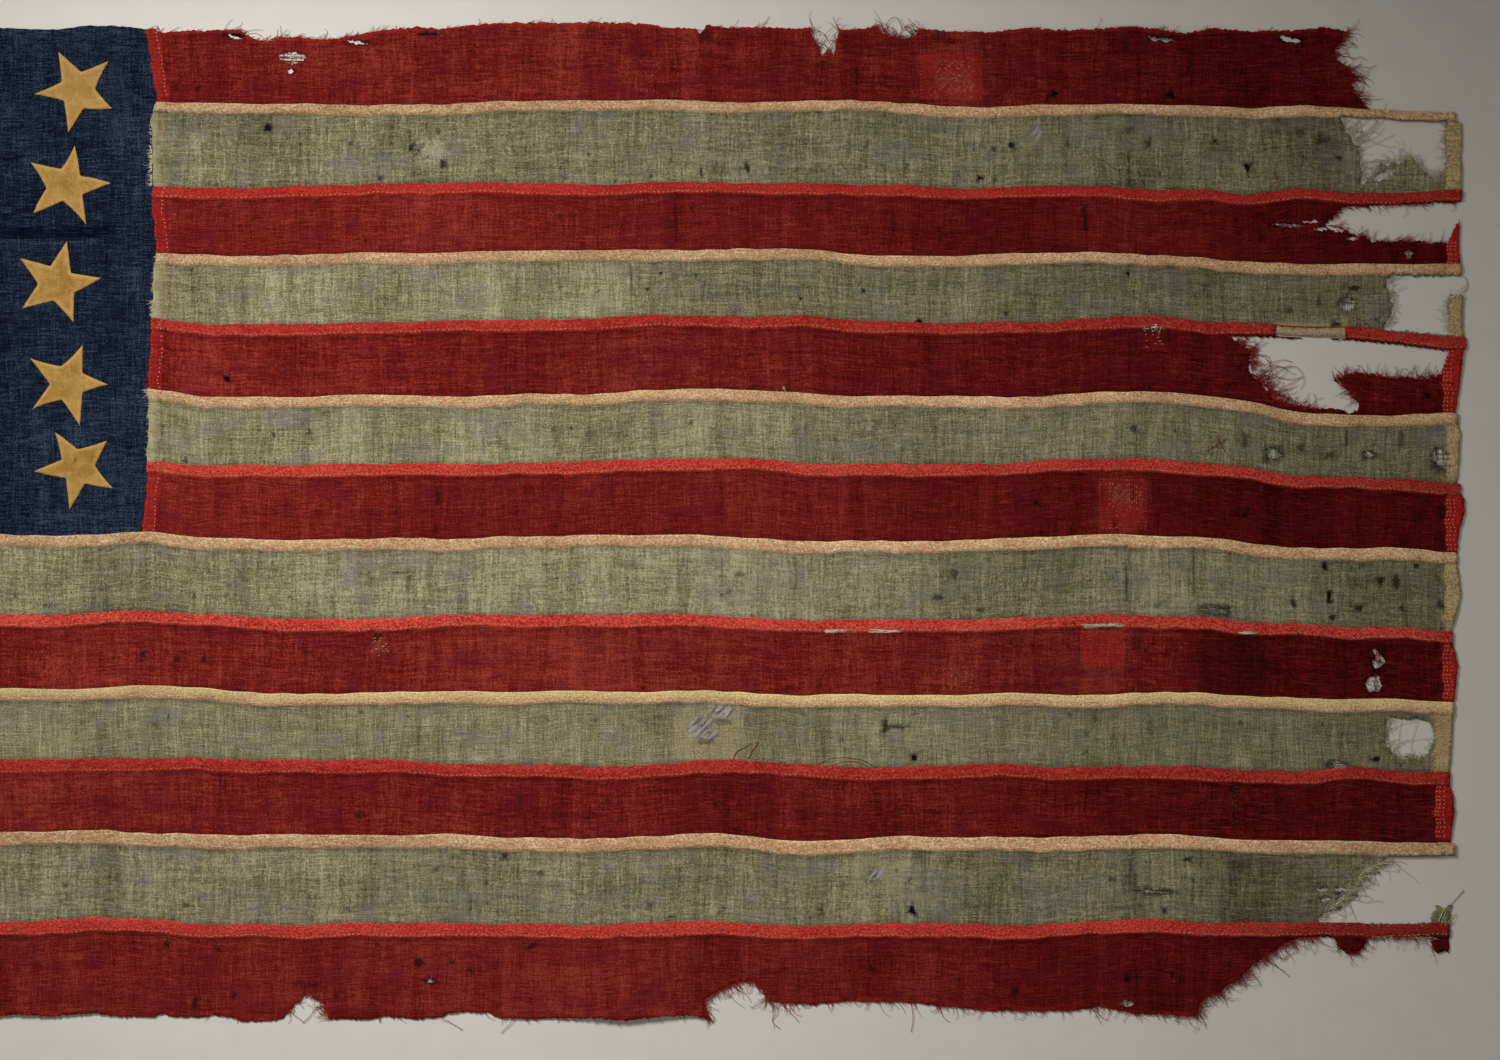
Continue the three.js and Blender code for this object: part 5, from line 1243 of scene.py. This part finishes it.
# Stripe 5.
fray(red_fray, 5, [(1236, 341), (1252, 351), (1251, 363), (1252, 374), (1261, 382), (1269, 390), (1273, 399), (1292, 406), (1315, 409)], 1.8, 14, (1, -0.1), 0.5, 2, 0.32, 141, 1.2)
fray(red_fray, 5, [(1257, 362), (1275, 396)], 0.6, 32, (1, -0.35), 0.3, 2, 0.34, 142, 1.5)
fray(red_fray, 5, [(1345, 388), (1334, 380), (1349, 374), (1366, 375), (1380, 377), (1398, 378), (1418, 379), (1441, 374)], 1.1, 10, (-0.4, -0.9), 0.7, 2, 0.26, 143)
fray(red_fray, 5, [(1359, 403), (1350, 392), (1345, 388)], 1.0, 11, (-1, 0.1), 0.5, 2, 0.26, 144)
fray(white_fray, 5, [(1142, 327), (1164, 327)], 0.8, 9, (0, 1), 0.8, 1, 0.28, 145)
# Stripe 6 worn holes.
fray(white_fray, 6, [(1264, 452), (1270, 458), (1281, 457)], 1.0, 8, (0.2, -1), 1.2, 1.5, 0.26, 151)
fray(white_fray, 6, [(1433, 452), (1434, 460), (1445, 468)], 0.9, 8, (1, -0.3), 1.0, 1.5, 0.26, 152)
# Stripe 9's ends, stripe 10's hole.
fray(white_fray, 10, [(1388, 720), (1385, 741), (1391, 752), (1402, 759), (1425, 757)], 0.9, 12, (0.8, -0.5), 0.9, 2, 0.26, 161, 1.4)
fray(white_fray, 10, [(1432, 726), (1434, 737), (1431, 748)], 0.9, 8, (-1, 0), 0.7, 1.5, 0.26, 162)
fray(red_fray, 9, [(1373, 660), (1384, 663)], 0.9, 9, (0.3, -1), 1.1, 1.5, 0.24, 163)
# Stripe 12's torn end.
fray(white_fray, 12, [(1391, 858), (1374, 866), (1363, 870), (1357, 883), (1345, 897), (1334, 906), (1319, 919)], 1.0, 11, (1, 0.1), 0.6, 2.5, 0.26, 171, 1.5)
fray(white_fray, 12, [(1391, 858), (1363, 871), (1334, 906)], 0.5, 26, (1, 0.05), 0.4, 2, 0.38, 172, 1.7)
fray(white_fray, 12, [(1350, 884), (1336, 902), (1322, 914)], 0.45, 30, (1, -0.15), 0.45, 2, 0.3, 174, 2.2)
fray(white_fray, 12, [(1438, 924), (1450, 924)], 1.5, 16, (0.1, -1), 0.5, 1, 0.3, 173)
# Stripe 13's lower edge.
fray(red_fray, 13, BOTTOM_EDGE[:24], 0.10, 6, (0.8, 0.6), 0.7, 1.5, 0.26, 181)
fray(red_fray, 13, BOTTOM_EDGE[19:23], 0.8, 8, (0.6, 0.8), 0.6, 1.5, 0.26, 182, 1.3)
fray(red_fray, 13, BOTTOM_EDGE[22:27], 1.1, 10, (-0.7, 0.35), 0.5, 1.5, 0.26, 180, 1.3)
fray(red_fray, 13, BOTTOM_EDGE[27:48], 0.16, 8, (0.7, 0.7), 0.7, 1.5, 0.26, 183)
fray(red_fray, 13, BOTTOM_EDGE[43:52], 1.0, 15, (0.1, 1), 0.8, 2, 0.28, 184, 1.5)
fray(red_fray, 13, BOTTOM_EDGE[51:64], 0.28, 11, (0.5, 0.9), 0.7, 2, 0.28, 185, 1.3)
fray(red_fray, 13, BOTTOM_EDGE[63:76], 1.4, 14, (0.8, 0.6), 0.6, 2.5, 0.28, 186, 1.2)
fray(red_fray, 13, BOTTOM_EDGE[76:85], 1.1, 9, (0.3, 0.9), 0.8, 2, 0.26, 187)
fray(white_fray, 13, [(1372, 937), (1430, 937)], 0.7, 10, (0.9, 0.35), 0.3, 1, 0.28, 188)
# Canton edge: whiskers of the stripes' ends.
fray(white_fray, 2, [(152, 150), (151, 186)], 1.2, 5, (-1, 0.1), 0.4, 1.5, 0.24, 191)
fray(white_fray, 4, [(153, 300), (152, 317)], 1.0, 4.5, (-1, 0.1), 0.4, 1.5, 0.24, 192)
fray(white_fray, 6, [(149, 388), (149, 396)], 1.2, 6, (-1, -0.2), 0.4, 1.5, 0.24, 193)
fray(red_fray, 1, [p for p in TOP_EDGE if 222 < p[0] < 398], 0.75, 8, (1, -0.12), 0.35, 1.5, 0.28, 194)
fray(red_fray, 1, [(149, 34), (151, 30), (162, 29)], 1.4, 5, (-0.4, -1), 0.7, 1.2, 0.28, 195)
fray(red_fray, 5, [(149, 385), (149, 391)], 1.6, 6, (-1, -0.1), 0.5, 1.2, 0.28, 196)
fray(white_fray, 6, [(149, 389), (149, 395)], 1.6, 7, (-1, -0.2), 0.5, 1.2, 0.28, 197)
fray(white_fray, 2, [(151, 120), (152, 185)], 0.9, 4.5, (-1, 0.05), 0.6, 1.2, 0.3, 198)
for i in range(1, 8):
    a = float(seam(i, 150)) if i > 1 else 32
    b = float(seam(i + 1, 150))
    fray(red_fray if i % 2 else white_fray, i, [(float(left_edge(v)), v) for v in np.arange(a + 3, b, 6)], 0.25, 2.2, (-1, 0), 0.5, 1.2, 0.22, 200 + i)


def long_thread(bag, pts, radius=0.3, tint=0.7, sides=3):
    """A single loose thread through given places: u, v and height above the surface."""
    p = np.array(pts, float)
    n = len(p)
    t = np.linspace(0, n - 1, (n - 1) * 6 + 1)
    k = np.minimum(t.astype(int), n - 2)
    f = (t - k)[:, None]
    ext = np.concatenate([[2 * p[0] - p[1]], p, [2 * p[-1] - p[-2]]])
    a, b, c, d = ext[k], ext[k + 1], ext[k + 2], ext[k + 3]
    q = 0.5 * (2 * b + (c - a) * f + (2 * a - 5 * b + 4 * c - d) * f ** 2 + (3 * b - a - 3 * c + d) * f ** 3)
    bag.add(q, radius, tint, sides, 0.8)


# Threads that can be told one by one.
long_thread(red_fray, [(1340, 96, 3), (1356, 86, 2.5), (1366, 72, 1.5), (1376, 65, 0.7)])
long_thread(red_fray, [(1345, 52, 3), (1352, 60, 2), (1360, 57, 1), (1368, 61, 0.6)])
long_thread(red_fray, [(884, 37, 2), (888, 22, 2.5), (897, 18, 2.2), (903, 30, 1), (910, 24, 1.5), (916, 33, 1.8)])
long_thread(red_fray, [(899, 38, 2), (892, 28, 2.5), (886, 30, 1.6), (891, 38, 1.6)])
long_thread(red_fray, [(814, 30, 2), (824, 34, 2.5), (830, 44, 2), (836, 40, 2), (841, 30, 2.4)])
long_thread(red_fray, [(816, 52, 2), (822, 40, 2.5), (832, 28, 2.5), (842, 24, 2)])
long_thread(white_fray, [(1344, 130, 2.5), (1352, 124, 1.6), (1362, 122, 0.8)], 0.3, 0.8)
long_thread(white_fray, [(1352, 140, 2), (1366, 131, 1.2), (1380, 122, 0.8)], 0.34, 0.9)
long_thread(white_fray, [(1356, 150, 2), (1372, 145, 1), (1386, 138, 1), (1394, 135, 0.6)], 0.34, 0.9)
long_thread(white_fray, [(1360, 163, 2), (1382, 160, 1), (1404, 159, 1), (1420, 155, 1.2)], 0.3, 0.8)
long_thread(white_fray, [(1343, 124, 2), (1350, 116, 1.8), (1358, 114, 1.6), (1366, 116, 1.2)], 0.28, 0.7)
long_thread(white_fray, [(1456, 200, 2), (1463, 196, 1), (1466, 192, 0.6)], 0.3, 0.8)
long_thread(white_fray, [(1390, 292, 2), (1399, 290, 1.2), (1407, 287, 0.6)], 0.3, 0.8)
long_thread(white_fray, [(1461, 275, 2), (1466, 280, 1), (1464, 292, 0.8), (1466, 300, 0.6)], 0.28, 0.8)
long_thread(red_fray, [(1348, 322, 2.8), (1354, 318, 3.2), (1364, 322, 3.0), (1370, 329, 2.6)], 0.32, 0.8)
long_thread(red_fray, [(1349, 329, 2.8), (1356, 324, 3.2), (1362, 327, 3.0)], 0.3, 0.8)
long_thread(red_fray, [(1252, 368, 2.5), (1268, 364, 1.4), (1282, 360, 1.0), (1292, 362, 0.6)], 0.32, 0.7)
long_thread(red_fray, [(1262, 384, 2.5), (1276, 388, 1.2), (1290, 384, 1.0), (1303, 376, 0.6)], 0.32, 0.7)
long_thread(red_fray, [(1268, 392, 2.5), (1284, 396, 1.2), (1296, 401, 0.8)], 0.3, 0.6)
long_thread(red_fray, [(1206, 451, 2.6), (1214, 447, 3.0), (1220, 443, 3.2), (1225, 452, 3.0), (1234, 460, 3.0), (1246, 467, 2.8)], 0.42, 0.55)
long_thread(red_fray, [(1216, 437, 2.8), (1221, 443, 3.2), (1226, 438, 3.2)], 0.4, 0.5)
long_thread(white_fray, [(783, 390, 6.2), (784, 387, 6.6), (786, 394, 6.2)], 0.4, 0.9)
long_thread(red_fray, [(748, 759, 3.3), (752, 751, 3.4), (756, 746, 3.3), (758, 742, 3.2)], 0.36, 0.5)
long_thread(red_fray, [(733, 759, 3.2), (737, 751, 3.4), (745, 747, 3.3), (752, 743, 3.2)], 0.34, 0.5)
long_thread(red_fray, [(818, 765, 2.6), (829, 759, 2.5), (845, 757.5, 2.5), (862, 760, 2.5), (877, 768, 2.5)], 0.34, 0.5)
long_thread(red_fray, [(827, 768, 2.6), (840, 762.5, 2.5), (856, 761.5, 2.5), (868, 766, 2.5)], 0.34, 0.5)
long_thread(red_fray, [(826, 668, 3.0), (818, 682, 3.0), (811, 694, 3.0)], 0.4, 0.7)
long_thread(white_fray, [(1442, 920, 1.6), (1449, 905, 1.0), (1457, 896, 0.8), (1463, 891, 0.6)], 0.34, 0.8)
long_thread(red_fray, [(288, 1009, 2), (295, 1015, 1.2), (304, 1022, 0.8)], 0.34, 0.9)
long_thread(red_fray, [(321, 1002, 2), (315, 1010, 1.2), (309, 1017, 0.9), (303, 1023, 0.7)], 0.34, 0.9)
long_thread(red_fray, [(440, 1017, 2), (450, 1022, 1), (463, 1030, 0.6)], 0.34, 0.7)
long_thread(red_fray, [(514, 1018, 2), (508, 1026, 1), (501, 1033, 0.6)], 0.34, 0.7)
long_thread(red_fray, [(911, 1002, 2), (913, 1018, 1), (911, 1032, 0.8)], 0.34, 0.7)
long_thread(red_fray, [(768, 1000, 2), (778, 1010, 1.2), (772, 1020, 0.8), (780, 1029, 0.6)], 0.34, 0.7)
long_thread(red_fray, [(780, 1002, 2), (790, 1012, 1), (799, 1022, 0.6)], 0.34, 0.7)
long_thread(red_fray, [(1196, 1012, 2), (1203, 1020, 1), (1206, 1028, 0.6)], 0.34, 0.7)
long_thread(red_fray, [(1260, 956, 2), (1276, 966, 1), (1290, 977, 0.6)], 0.34, 0.7)
long_thread(red_fray, [(1272, 950, 2), (1282, 958, 1), (1295, 952, 0.6)], 0.34, 0.7)
long_thread(white_fray, [(1453, 298, 2.6), (1458, 291, 2.2), (1464, 287, 1.4), (1466, 281, 1.0), (1464, 276, 0.8)], 0.6, 0.7)
long_thread(white_fray, [(1456, 299, 2.6), (1460, 293, 2.2), (1465, 289, 1.4), (1467, 283, 1.0)], 0.5, 0.9)
long_thread(white_fray, [(1438, 922, 2.0), (1443, 911, 1.6), (1449, 904, 1.2), (1456, 897, 0.8), (1463, 889, 0.7)], 0.6, 0.8)
long_thread(white_fray, [(1362, 877, 2.0), (1370, 876, 1.2), (1376, 880, 0.8), (1378, 886, 0.6)], 0.4, 0.9)
long_thread(white_fray, [(1336, 904, 2.0), (1346, 898, 1.4), (1356, 899, 1.0), (1360, 894, 0.7)], 0.4, 0.8)
long_thread(white_fray, [(1330, 908, 2.0), (1338, 913, 1.2), (1346, 917, 0.7)], 0.38, 0.8)
long_thread(white_fray, [(1376, 864, 2.0), (1384, 866, 1.2), (1391, 866, 0.7)], 0.36, 0.8)
fray(red_fray, 11, [(u, float(seam(11, u)) + 1) for u in range(696, 872, 8)], 0.9, 3.4, (0.4, -1), 0.8, 0.6, 0.3, 189)
# Strands left across the holes.
for (a, b), kind in (
    (((1387, 730), (1416, 721)), "w"), (((1395, 757), (1401, 722)), "w"), (((1388, 745), (1431, 738)), "w"), (((1410, 755), (1418, 719)), "w"),
    (((1327, 765), (1346, 766)), "w"), (((277, 57), (306, 57)), "r"), (((279, 60), (303, 61)), "r"), (((1276, 453), (1265, 455)), "w"),
    (((1434, 456), (1446, 463)), "w"), (((1343, 300), (1344, 311)), "w"), (((1350, 298), (1349, 309)), "w"), (((1374, 176), (1392, 180)), "w"),
    (((1368, 166), (1382, 182)), "w"), (((1366, 684), (1380, 686)), "r"), (((1373, 680), (1374, 690)), "r"), (((1200, 609), (1228, 610)), "w"),
    (((1140, 891), (1174, 893)), "w"), (((1150, 890), (1152, 894)), "w"),
):
    i = 10 if a[1] > 700 and a[1] < 780 else 1
    mid = ((a[0] + b[0]) / 2 + rng.normal() * 1.5, (a[1] + b[1]) / 2 + rng.normal() * 1.5)
    h = [float(ripple(*p) + 0.7) for p in (a, mid, b)]
    long_thread(white_fray if kind == "w" else red_fray, [(*a, h[0]), (*mid, h[1]), (*b, h[2])], 0.28, 0.6)


# Stitches: felling along both edges of every band.
seam_stitch, dark_stitch = Strands(), Strands()
g = np.random.default_rng(71)
for i in range(2, 14):
    u = (float(left_edge(seam(i, 150.0))) + 2) if i < 8 else HOIST_U + 3
    end = FLY[i][0][0] - 3
    while u < end:
        gap = g.uniform(3.6, 5.4)
        for where in (0, 1):
            t, b = float(seam(i, u)), float(band_low(i, u))
            vv = b - 1.4 + g.normal() * 0.25 if where else t + 1.5 + g.normal() * 0.25
            uu = u + g.normal() * 0.4 + where * 1.7
            slant = g.normal() * 0.25 + (0.5 if where else 0.2)
            z = one_height(i, uu, vv)
            if i % 2:
                if where or g.random() < 0.25:
                    bag, tint, w = seam_stitch, min(1.0, g.uniform(0.0, 0.8) + 0.3 * float(smooth(1000, 1300, u))), 0.7 + 0.35 * float(smooth(1050, 1300, u))
                else:
                    continue
            else:
                bag, tint, w = dark_stitch, g.uniform(0.0, 0.7), 0.62
                if g.random() < (0.25 if where else 0.7):
                    continue
            ln = g.uniform(1.5, 2.5)
            bag.stitch((uu - ln / 2, vv - slant / 2), (uu + ln / 2, vv + slant / 2), z, w, 0.25, tint)
        u += gap
# Stitches down the laps of stripes 1 to 7 on the canton.
for i in range(1, 8):
    v = (float(seam(i, 160)) if i > 1 else 31) + 2
    end = float(seam(i + 1, 160)) - 1
    while v < end:
        e = float(left_edge(v))
        if i % 2:
            for d, tint in ((1.6, 0.3), (LAP_U - 1.2 + 0.8 * math.sin(v / 9), 1.0)):
                if g.random() < 0.9:
                    uu = e + d + g.normal() * 0.3
                    z = one_height(i, uu, v)
                    seam_stitch.stitch((uu - 0.25, v - 1.1), (uu + 0.35, v + 1.2), z, 0.95 if d > 5 else 0.6, 0.3, min(1, tint * g.uniform(0.8, 1.1)))
        else:
            for d in (1.6, LAP_U - 1.2):
                uu = e + d + g.normal() * 0.3
                dark_stitch.stitch((uu - 0.2, v - 0.9), (uu + 0.3, v + 0.9), one_height(i, uu, v), 0.45, 0.22, g.uniform(0.3, 1.0))
        v += g.uniform(3.2, 4.6)
# Whip stitches on the fly hems.
for i, (hu, v0, v1) in HEM.items():
    v = v0 + 1
    while v < v1 - 1:
        inner = hu + 0.8 * math.sin(v / 3.1) + 0.6 * math.sin(v / 7.7)
        poly = TORN.get(i, [])
        uu = inner + 0.6
        z = one_height(i, uu + 1, v)
        fly = np.interp(v, [p[1] for p in FLY[i]], [p[0] for p in FLY[i]])
        if uu + 3 < fly and not (i == 3 and v < 240):
            bag = seam_stitch if i % 2 else dark_stitch
            bag.stitch((uu - 1.2, v + 0.9), (uu + 2.0, v - 0.9), z, 0.8 if i % 2 else 0.6, 0.3, g.uniform(0.5, 1.0))
            if i % 2:
                for d in (3.4, 7.5):
                    x = uu + d + g.normal() * 0.3
                    if x < fly - 1.5:
                        seam_stitch.stitch((x - 0.2, v + 1.3), (x + 0.2, v - 1.0), one_height(i, x, v), 1.2, 0.4, g.uniform(0.7, 1.0))
        v += g.uniform(3.4, 4.8)
# Hoist hem.
v = 34.0
while v < 1008:
    uu = HOIST_U + 12 + g.normal() * 0.2
    if v < 530:
        z = one_height(0, uu, v)
    else:
        i = max(k for k in range(8, 14) if float(seam(k, uu)) <= v or k == 8)
        z = one_height(i, uu, v)
    dark_stitch.stitch((uu - 0.2, v - 1.1), (uu + 0.2, v + 1.1), z, 0.5, 0.25, 0.5)
    v += g.uniform(3.8, 5.2)
# Stitches round the repair pieces, and darning on them.
for k, (i, u0, u1, v0, v1) in enumerate(PATCHES):
    ring = ragged([(u0 + 3, v0 + 3), (u1 - 3, v0 + 4), (u1 - 4, v1 - 3), (u0 + 4, v1 - 3.5)], 3.6, 0.3, seed=80 + k)
    for a, b in zip(ring, ring[1:] + ring[:1]):
        a, b = np.array(a), np.array(b)
        q = a + (b - a) * 0.55
        bag = seam_stitch if i % 2 else white_fray
        tint = g.uniform(0.0, 0.5) if i % 2 else g.uniform(0.3, 0.9)
        bag.stitch(a, q, one_height(i, *a), 0.5, 0.25, tint)
grey_darn = Strands()
g = np.random.default_rng(72)


def darn(bag, i, u0, u1, v0, v1, gap, angle, tint, length=(3, 7), gaps=0.25, width=0.6):
    """Rows of running stitches worked to and fro over a worn place."""
    c, sn = math.cos(angle), math.sin(angle)
    mu, mv = (u0 + u1) / 2, (v0 + v1) / 2
    half = math.hypot(u1 - u0, v1 - v0) / 2
    y = -half
    while y < half:
        x = -half
        while x < half:
            ln = g.uniform(*length)
            pa = np.array([mu + x * c - y * sn, mv + x * sn + y * c])
            pb = np.array([mu + (x + ln) * c - (y + g.normal() * 0.3) * sn, mv + (x + ln) * sn + (y + g.normal() * 0.3) * c])
            m2 = (pa + pb) / 2
            if u0 < m2[0] < u1 and v0 < m2[1] < v1 and g.random() > gaps:
                bag.stitch(pa, pb, one_height(i, *m2), width, 0.3 * width + 0.1, g.uniform(*tint))
            x += ln + g.uniform(0.8, 2.2)
        y += gap * g.uniform(0.75, 1.3)


darn(seam_stitch, 1, 934, 974, 58, 94, 2.1, 0.2, (0.0, 0.55), (3, 8), 0.35, 0.5)
darn(seam_stitch, 1, 938, 972, 60, 92, 2.3, 1.3, (0.1, 0.75), (3, 7), 0.4, 0.5)
darn(seam_stitch, 1, 928, 980, 88, 99, 2.4, 0.0, (0.0, 0.6), (3, 7), 0.5, 0.5)
darn(seam_stitch, 7, 1100, 1145, 480, 528, 3.2, 0.0, (0.0, 0.25), (3, 8), 0.6)
darn(seam_stitch, 7, 1108, 1138, 484, 512, 2.3, math.pi / 2, (0.1, 0.7), (2, 6), 0.4, 0.6)
darn(seam_stitch, 9, 1083, 1122, 632, 662, 3.0, 0.1, (0.0, 0.3), (3, 6), 0.55)
darn(seam_stitch, 9, 940, 976, 665, 689, 2.4, 0.0, (0.0, 0.4), (2, 6), 0.45, 0.5)
darn(seam_stitch, 9, 940, 976, 664, 690, 3.4, math.pi / 2, (0.0, 0.4), (2, 5), 0.6)
darn(seam_stitch, 5, 1142, 1163, 330, 349, 2.6, 0.0, (0.3, 0.9), (3, 6), 0.4, 0.8)
for a, b, w in (((1149, 327.6), (1161, 326.6), 3.6), ((1153, 324.5), (1158, 325.5), 2.4), ((1144, 329), (1151, 328.2), 1.2)):
    white_fray.stitch(a, b, one_height(5, (a[0] + b[0]) / 2, (a[1] + b[1]) / 2), w, 0.6, 0.9)
darn(seam_stitch, 9, 372, 389, 636, 656, 2.4, 0.0, (0.2, 0.9), (2, 5), 0.45, 0.8)
darn(grey_darn, 10, 690, 714, 714, 740, 1.9, -0.75, (0.0, 0.7), (3, 7), 0.3, 0.8)
darn(grey_darn, 10, 708, 735, 704, 720, 1.9, -0.6, (0.0, 0.7), (3, 7), 0.35, 0.8)
darn(grey_darn, 12, 867, 885, 867, 881, 1.8, 0.3, (0.0, 0.8), (2, 5), 0.3, 0.8)
darn(grey_darn, 2, 1028, 1044, 122, 146, 2.0, math.pi / 2, (0.2, 0.8), (3, 6), 0.35)
darn(white_fray, 2, 412, 450, 138, 165, 2.2, 0.25, (0.5, 1.0), (3, 8), 0.4)
darn(white_fray, 2, 416, 446, 140, 163, 2.6, math.pi / 2 + 0.2, (0.5, 1.0), (3, 7), 0.5)
darn(white_fray, 10, 676, 742, 706, 757, 3.4, 0.0, (0.3, 0.8), (3, 7), 0.55)
darn(white_fray, 12, 852, 904, 862, 893, 3.4, 0.0, (0.3, 0.8), (3, 7), 0.6)
for u in np.arange(1372, 1431, 2.2):  # pale ends showing below stripe 13's seam
    if g.random() < 0.8:
        v = float(band_low(13, u)) - 1.2 + g.normal() * 0.3
        white_fray.stitch((u, v), (u + g.uniform(1.2, 2.6), v + g.normal() * 0.3), one_height(13, u, v), 0.8, 0.35, g.uniform(0.5, 1.0))
for u in np.arange(BAND_GAP[5][0] + 1, BAND_GAP[5][1] - 1, 3.1):  # old stitches on the uncovered turning
    for dv, tint in ((2.6, 0.9), (9.0, 0.4)):
        v = float(seam(5, u)) + dv + g.normal() * 0.3
        (white_fray if tint > 0.5 else dark_stitch).stitch((u, v), (u + 1.9, v + 0.3), one_height(4, u, v), 0.8, 0.35, tint)
for _ in range(60):  # dark herringbone darn on stripe 11
    a = np.array([g.uniform(1231, 1240), g.uniform(785, 822)])
    s = g.choice([-1, 1])
    q = a + np.array([2.6 * s, 2.6])
    dark_stitch.stitch(a, q, one_height(11, *a), 0.55, 0.25, g.uniform(0, 0.3))
# White ends pulled out along the lower edge of stripe 9's seam.
for u0, u1, v0, v1 in ((824, 848, 628, 633), (868, 901, 627, 634), (1081, 1126, 621, 628), (1238, 1257, 630, 634)):
    for _ in range(int((u1 - u0) * 0.9)):
        ln = min(g.uniform(6, 16), (u1 - u0) * 0.8)
        a = np.array([g.uniform(u0, u1 - ln * 0.8), (v0 + v1) / 2 + 0.8 + g.normal() * (v1 - v0) * 0.13])
        z = one_height(9, *a) + 0.15
        q = [(a[0] + ln * t, a[1] + 0.9 * math.sin(3 * t) * g.normal() * 0.35, z + 0.4 * math.sin(math.pi * t)) for t in np.linspace(0, 1, 5)]
        white_fray.add(q, 0.4, g.uniform(0.6, 1.0), 3, 0.5)
worn_yarn = Strands()
# Single yarns left across the smaller worn holes, both ways of the weave.
for i, u0, u1, v0, v1, n in ((6, 1264, 1281, 448, 459, 13), (6, 1362, 1375, 452, 458, 8), (6, 1433, 1447, 449, 467, 14), (4, 1340, 1354, 297, 310, 12), (8, 1200, 1228, 605, 614, 20), (12, 1138, 1175, 890, 893, 13),
                             (9, 1372, 1384, 650, 668, 8), (9, 1366, 1381, 676, 691, 8), (13, 427, 435, 978, 982, 6), (13, 1120, 1134, 1000, 1006, 8), (3, 1405, 1413, 250, 258, 6), (10, 1328, 1346, 761, 770, 10), (1, 277, 306, 52, 63, 9)):
    for k in range(n):
        if k % 2 or v1 - v0 < 5:
            x = g.uniform(u0, u1)
            q = [(x + g.normal() * 0.8, v0 - 2.5), (x + g.normal() * 1.2, (v0 + v1) / 2), (x + g.normal() * 0.8, v1 + 2.5)]
        else:
            y = g.uniform(v0, v1)
            q = [(u0 - 3, y + g.normal() * 0.8), ((u0 + u1) / 2, y + g.normal() * 1.4), (u1 + 3, y + g.normal() * 0.8)]
        q = [(x, y, one_height(i, x, y) + (0.0 if j == 1 else 0.12)) for j, (x, y) in enumerate(q)]
        (red_fray if i % 2 else worn_yarn).add(q, 0.34, g.uniform(0.0, 0.5 if i % 2 else 1.0), 3, 0.6)
# Seam of small gold slip stitches round each star.
star_stitch = Strands()
for line in STAR_OUTLINES:
    for k in range(0, len(line), 4):
        p = np.array(line[k])
        n = np.array(line[(k + 1) % len(line)]) - p
        n = np.array([-n[1], n[0]]) / max(np.hypot(*n), 1e-6)
        q = p + n * 0.9
        p2 = p - n * 0.9
        z = one_height(0, p[0], p[1]) + 0.6
        star_stitch.stitch(p2, q, z, 0.35, 0.25, 0.5)

THREADS = [
    (red_fray, "threads_red", RED_THREAD), (white_fray, "threads_white", WHITE_THREAD),
    (grey_darn, "darning_grey", GREY_THREAD), (seam_stitch, "stitches_pale", PALE_STITCH), (dark_stitch, "stitches_dark", DARK_STITCH), (worn_yarn, "threads_grey_green", thread("worn_yarn", lin(50, 50, 38), lin(112, 108, 84))), (star_stitch, "stitches_stars", thread("gold_stitch", lin(140, 104, 50), lin(196, 156, 90))),
]
for bag, name, mat in THREADS:
    ob = bag.make(name, mat)
    rest_on_root(ob, "sewing_thread")
    TALLY[name] = len(ob.data.polygons)

# --------------------------------------------------------- floor, light, view
floor = make_mesh("floor", [(-6, -6, -0.0006), (6, -6, -0.0006), (6, 6, -0.0006), (-6, 6, -0.0006)], [(0, 1, 2), (0, 2, 3)], smooth_shade=False)
m = Nodes("floor_paint")
geo = m.nt.nodes.new("ShaderNodeTexCoord")
tex = m.nt.nodes.new("ShaderNodeTexNoise")
tex.inputs["Scale"].default_value = 30
m.link(geo.outputs["Object"], tex.inputs["Vector"])
floor.data.materials.append(m.finish(m.ramp(tex.outputs[0], [(0.3, lin(222, 219, 212)), (0.7, lin(226, 223, 216))]), 0.9, 0.0, 0.1))

scene = bpy.context.scene
scene.view_settings.view_transform = "Standard"
scene.view_settings.look = "None"
scene.view_settings.exposure = 0.0
world = bpy.data.worlds.new("studio")
scene.world = world
world.use_nodes = True
world.node_tree.nodes["Background"].inputs[0].default_value = (1.0, 0.95, 0.88, 1)
world.node_tree.nodes["Background"].inputs[1].default_value = 0.12


def area_light(name, place, target, size, power, color=(1, 1, 1), spread=180):
    data = bpy.data.lights.new(name, "AREA")
    data.shape = "RECTANGLE"
    data.size, data.size_y = size
    data.energy = power
    data.spread = math.radians(spread)
    data.color = color
    ob = bpy.data.objects.new(name, data)
    ob.location = place
    ob.visible_camera = False
    ob.rotation_euler = (Vector(target) - Vector(place)).to_track_quat("-Z", "Y").to_euler()
    scene.collection.objects.link(ob)
    return ob


area_light("key", (-0.5, 0.9, 1.15), (0.10, -0.60, 0), (0.75, 0.55), 9.6, (1.0, 0.98, 0.94), 98)
area_light("fill", (0.55, -0.35, 1.9), (0.5, -0.1, 0), (1.4, 1.0), 3.0, (1.0, 0.94, 0.86))

cam_data = bpy.data.cameras.new("camera")
cam_data.lens = 85
cam_data.sensor_width = 36
cam = bpy.data.objects.new("camera", cam_data)
distance = 1.5 * 85 / 36
cam.location = ((750 - CENTRE_U) / 1000, (CENTRE_V - 530) / 1000, distance)
cam.rotation_euler = (0, 0, 0)
scene.collection.objects.link(cam)
scene.camera = cam

TALLY["all"] = sum(len(o.data.polygons) for o in bpy.data.objects if o.type == "MESH")
print("tally", json.dumps(TALLY))
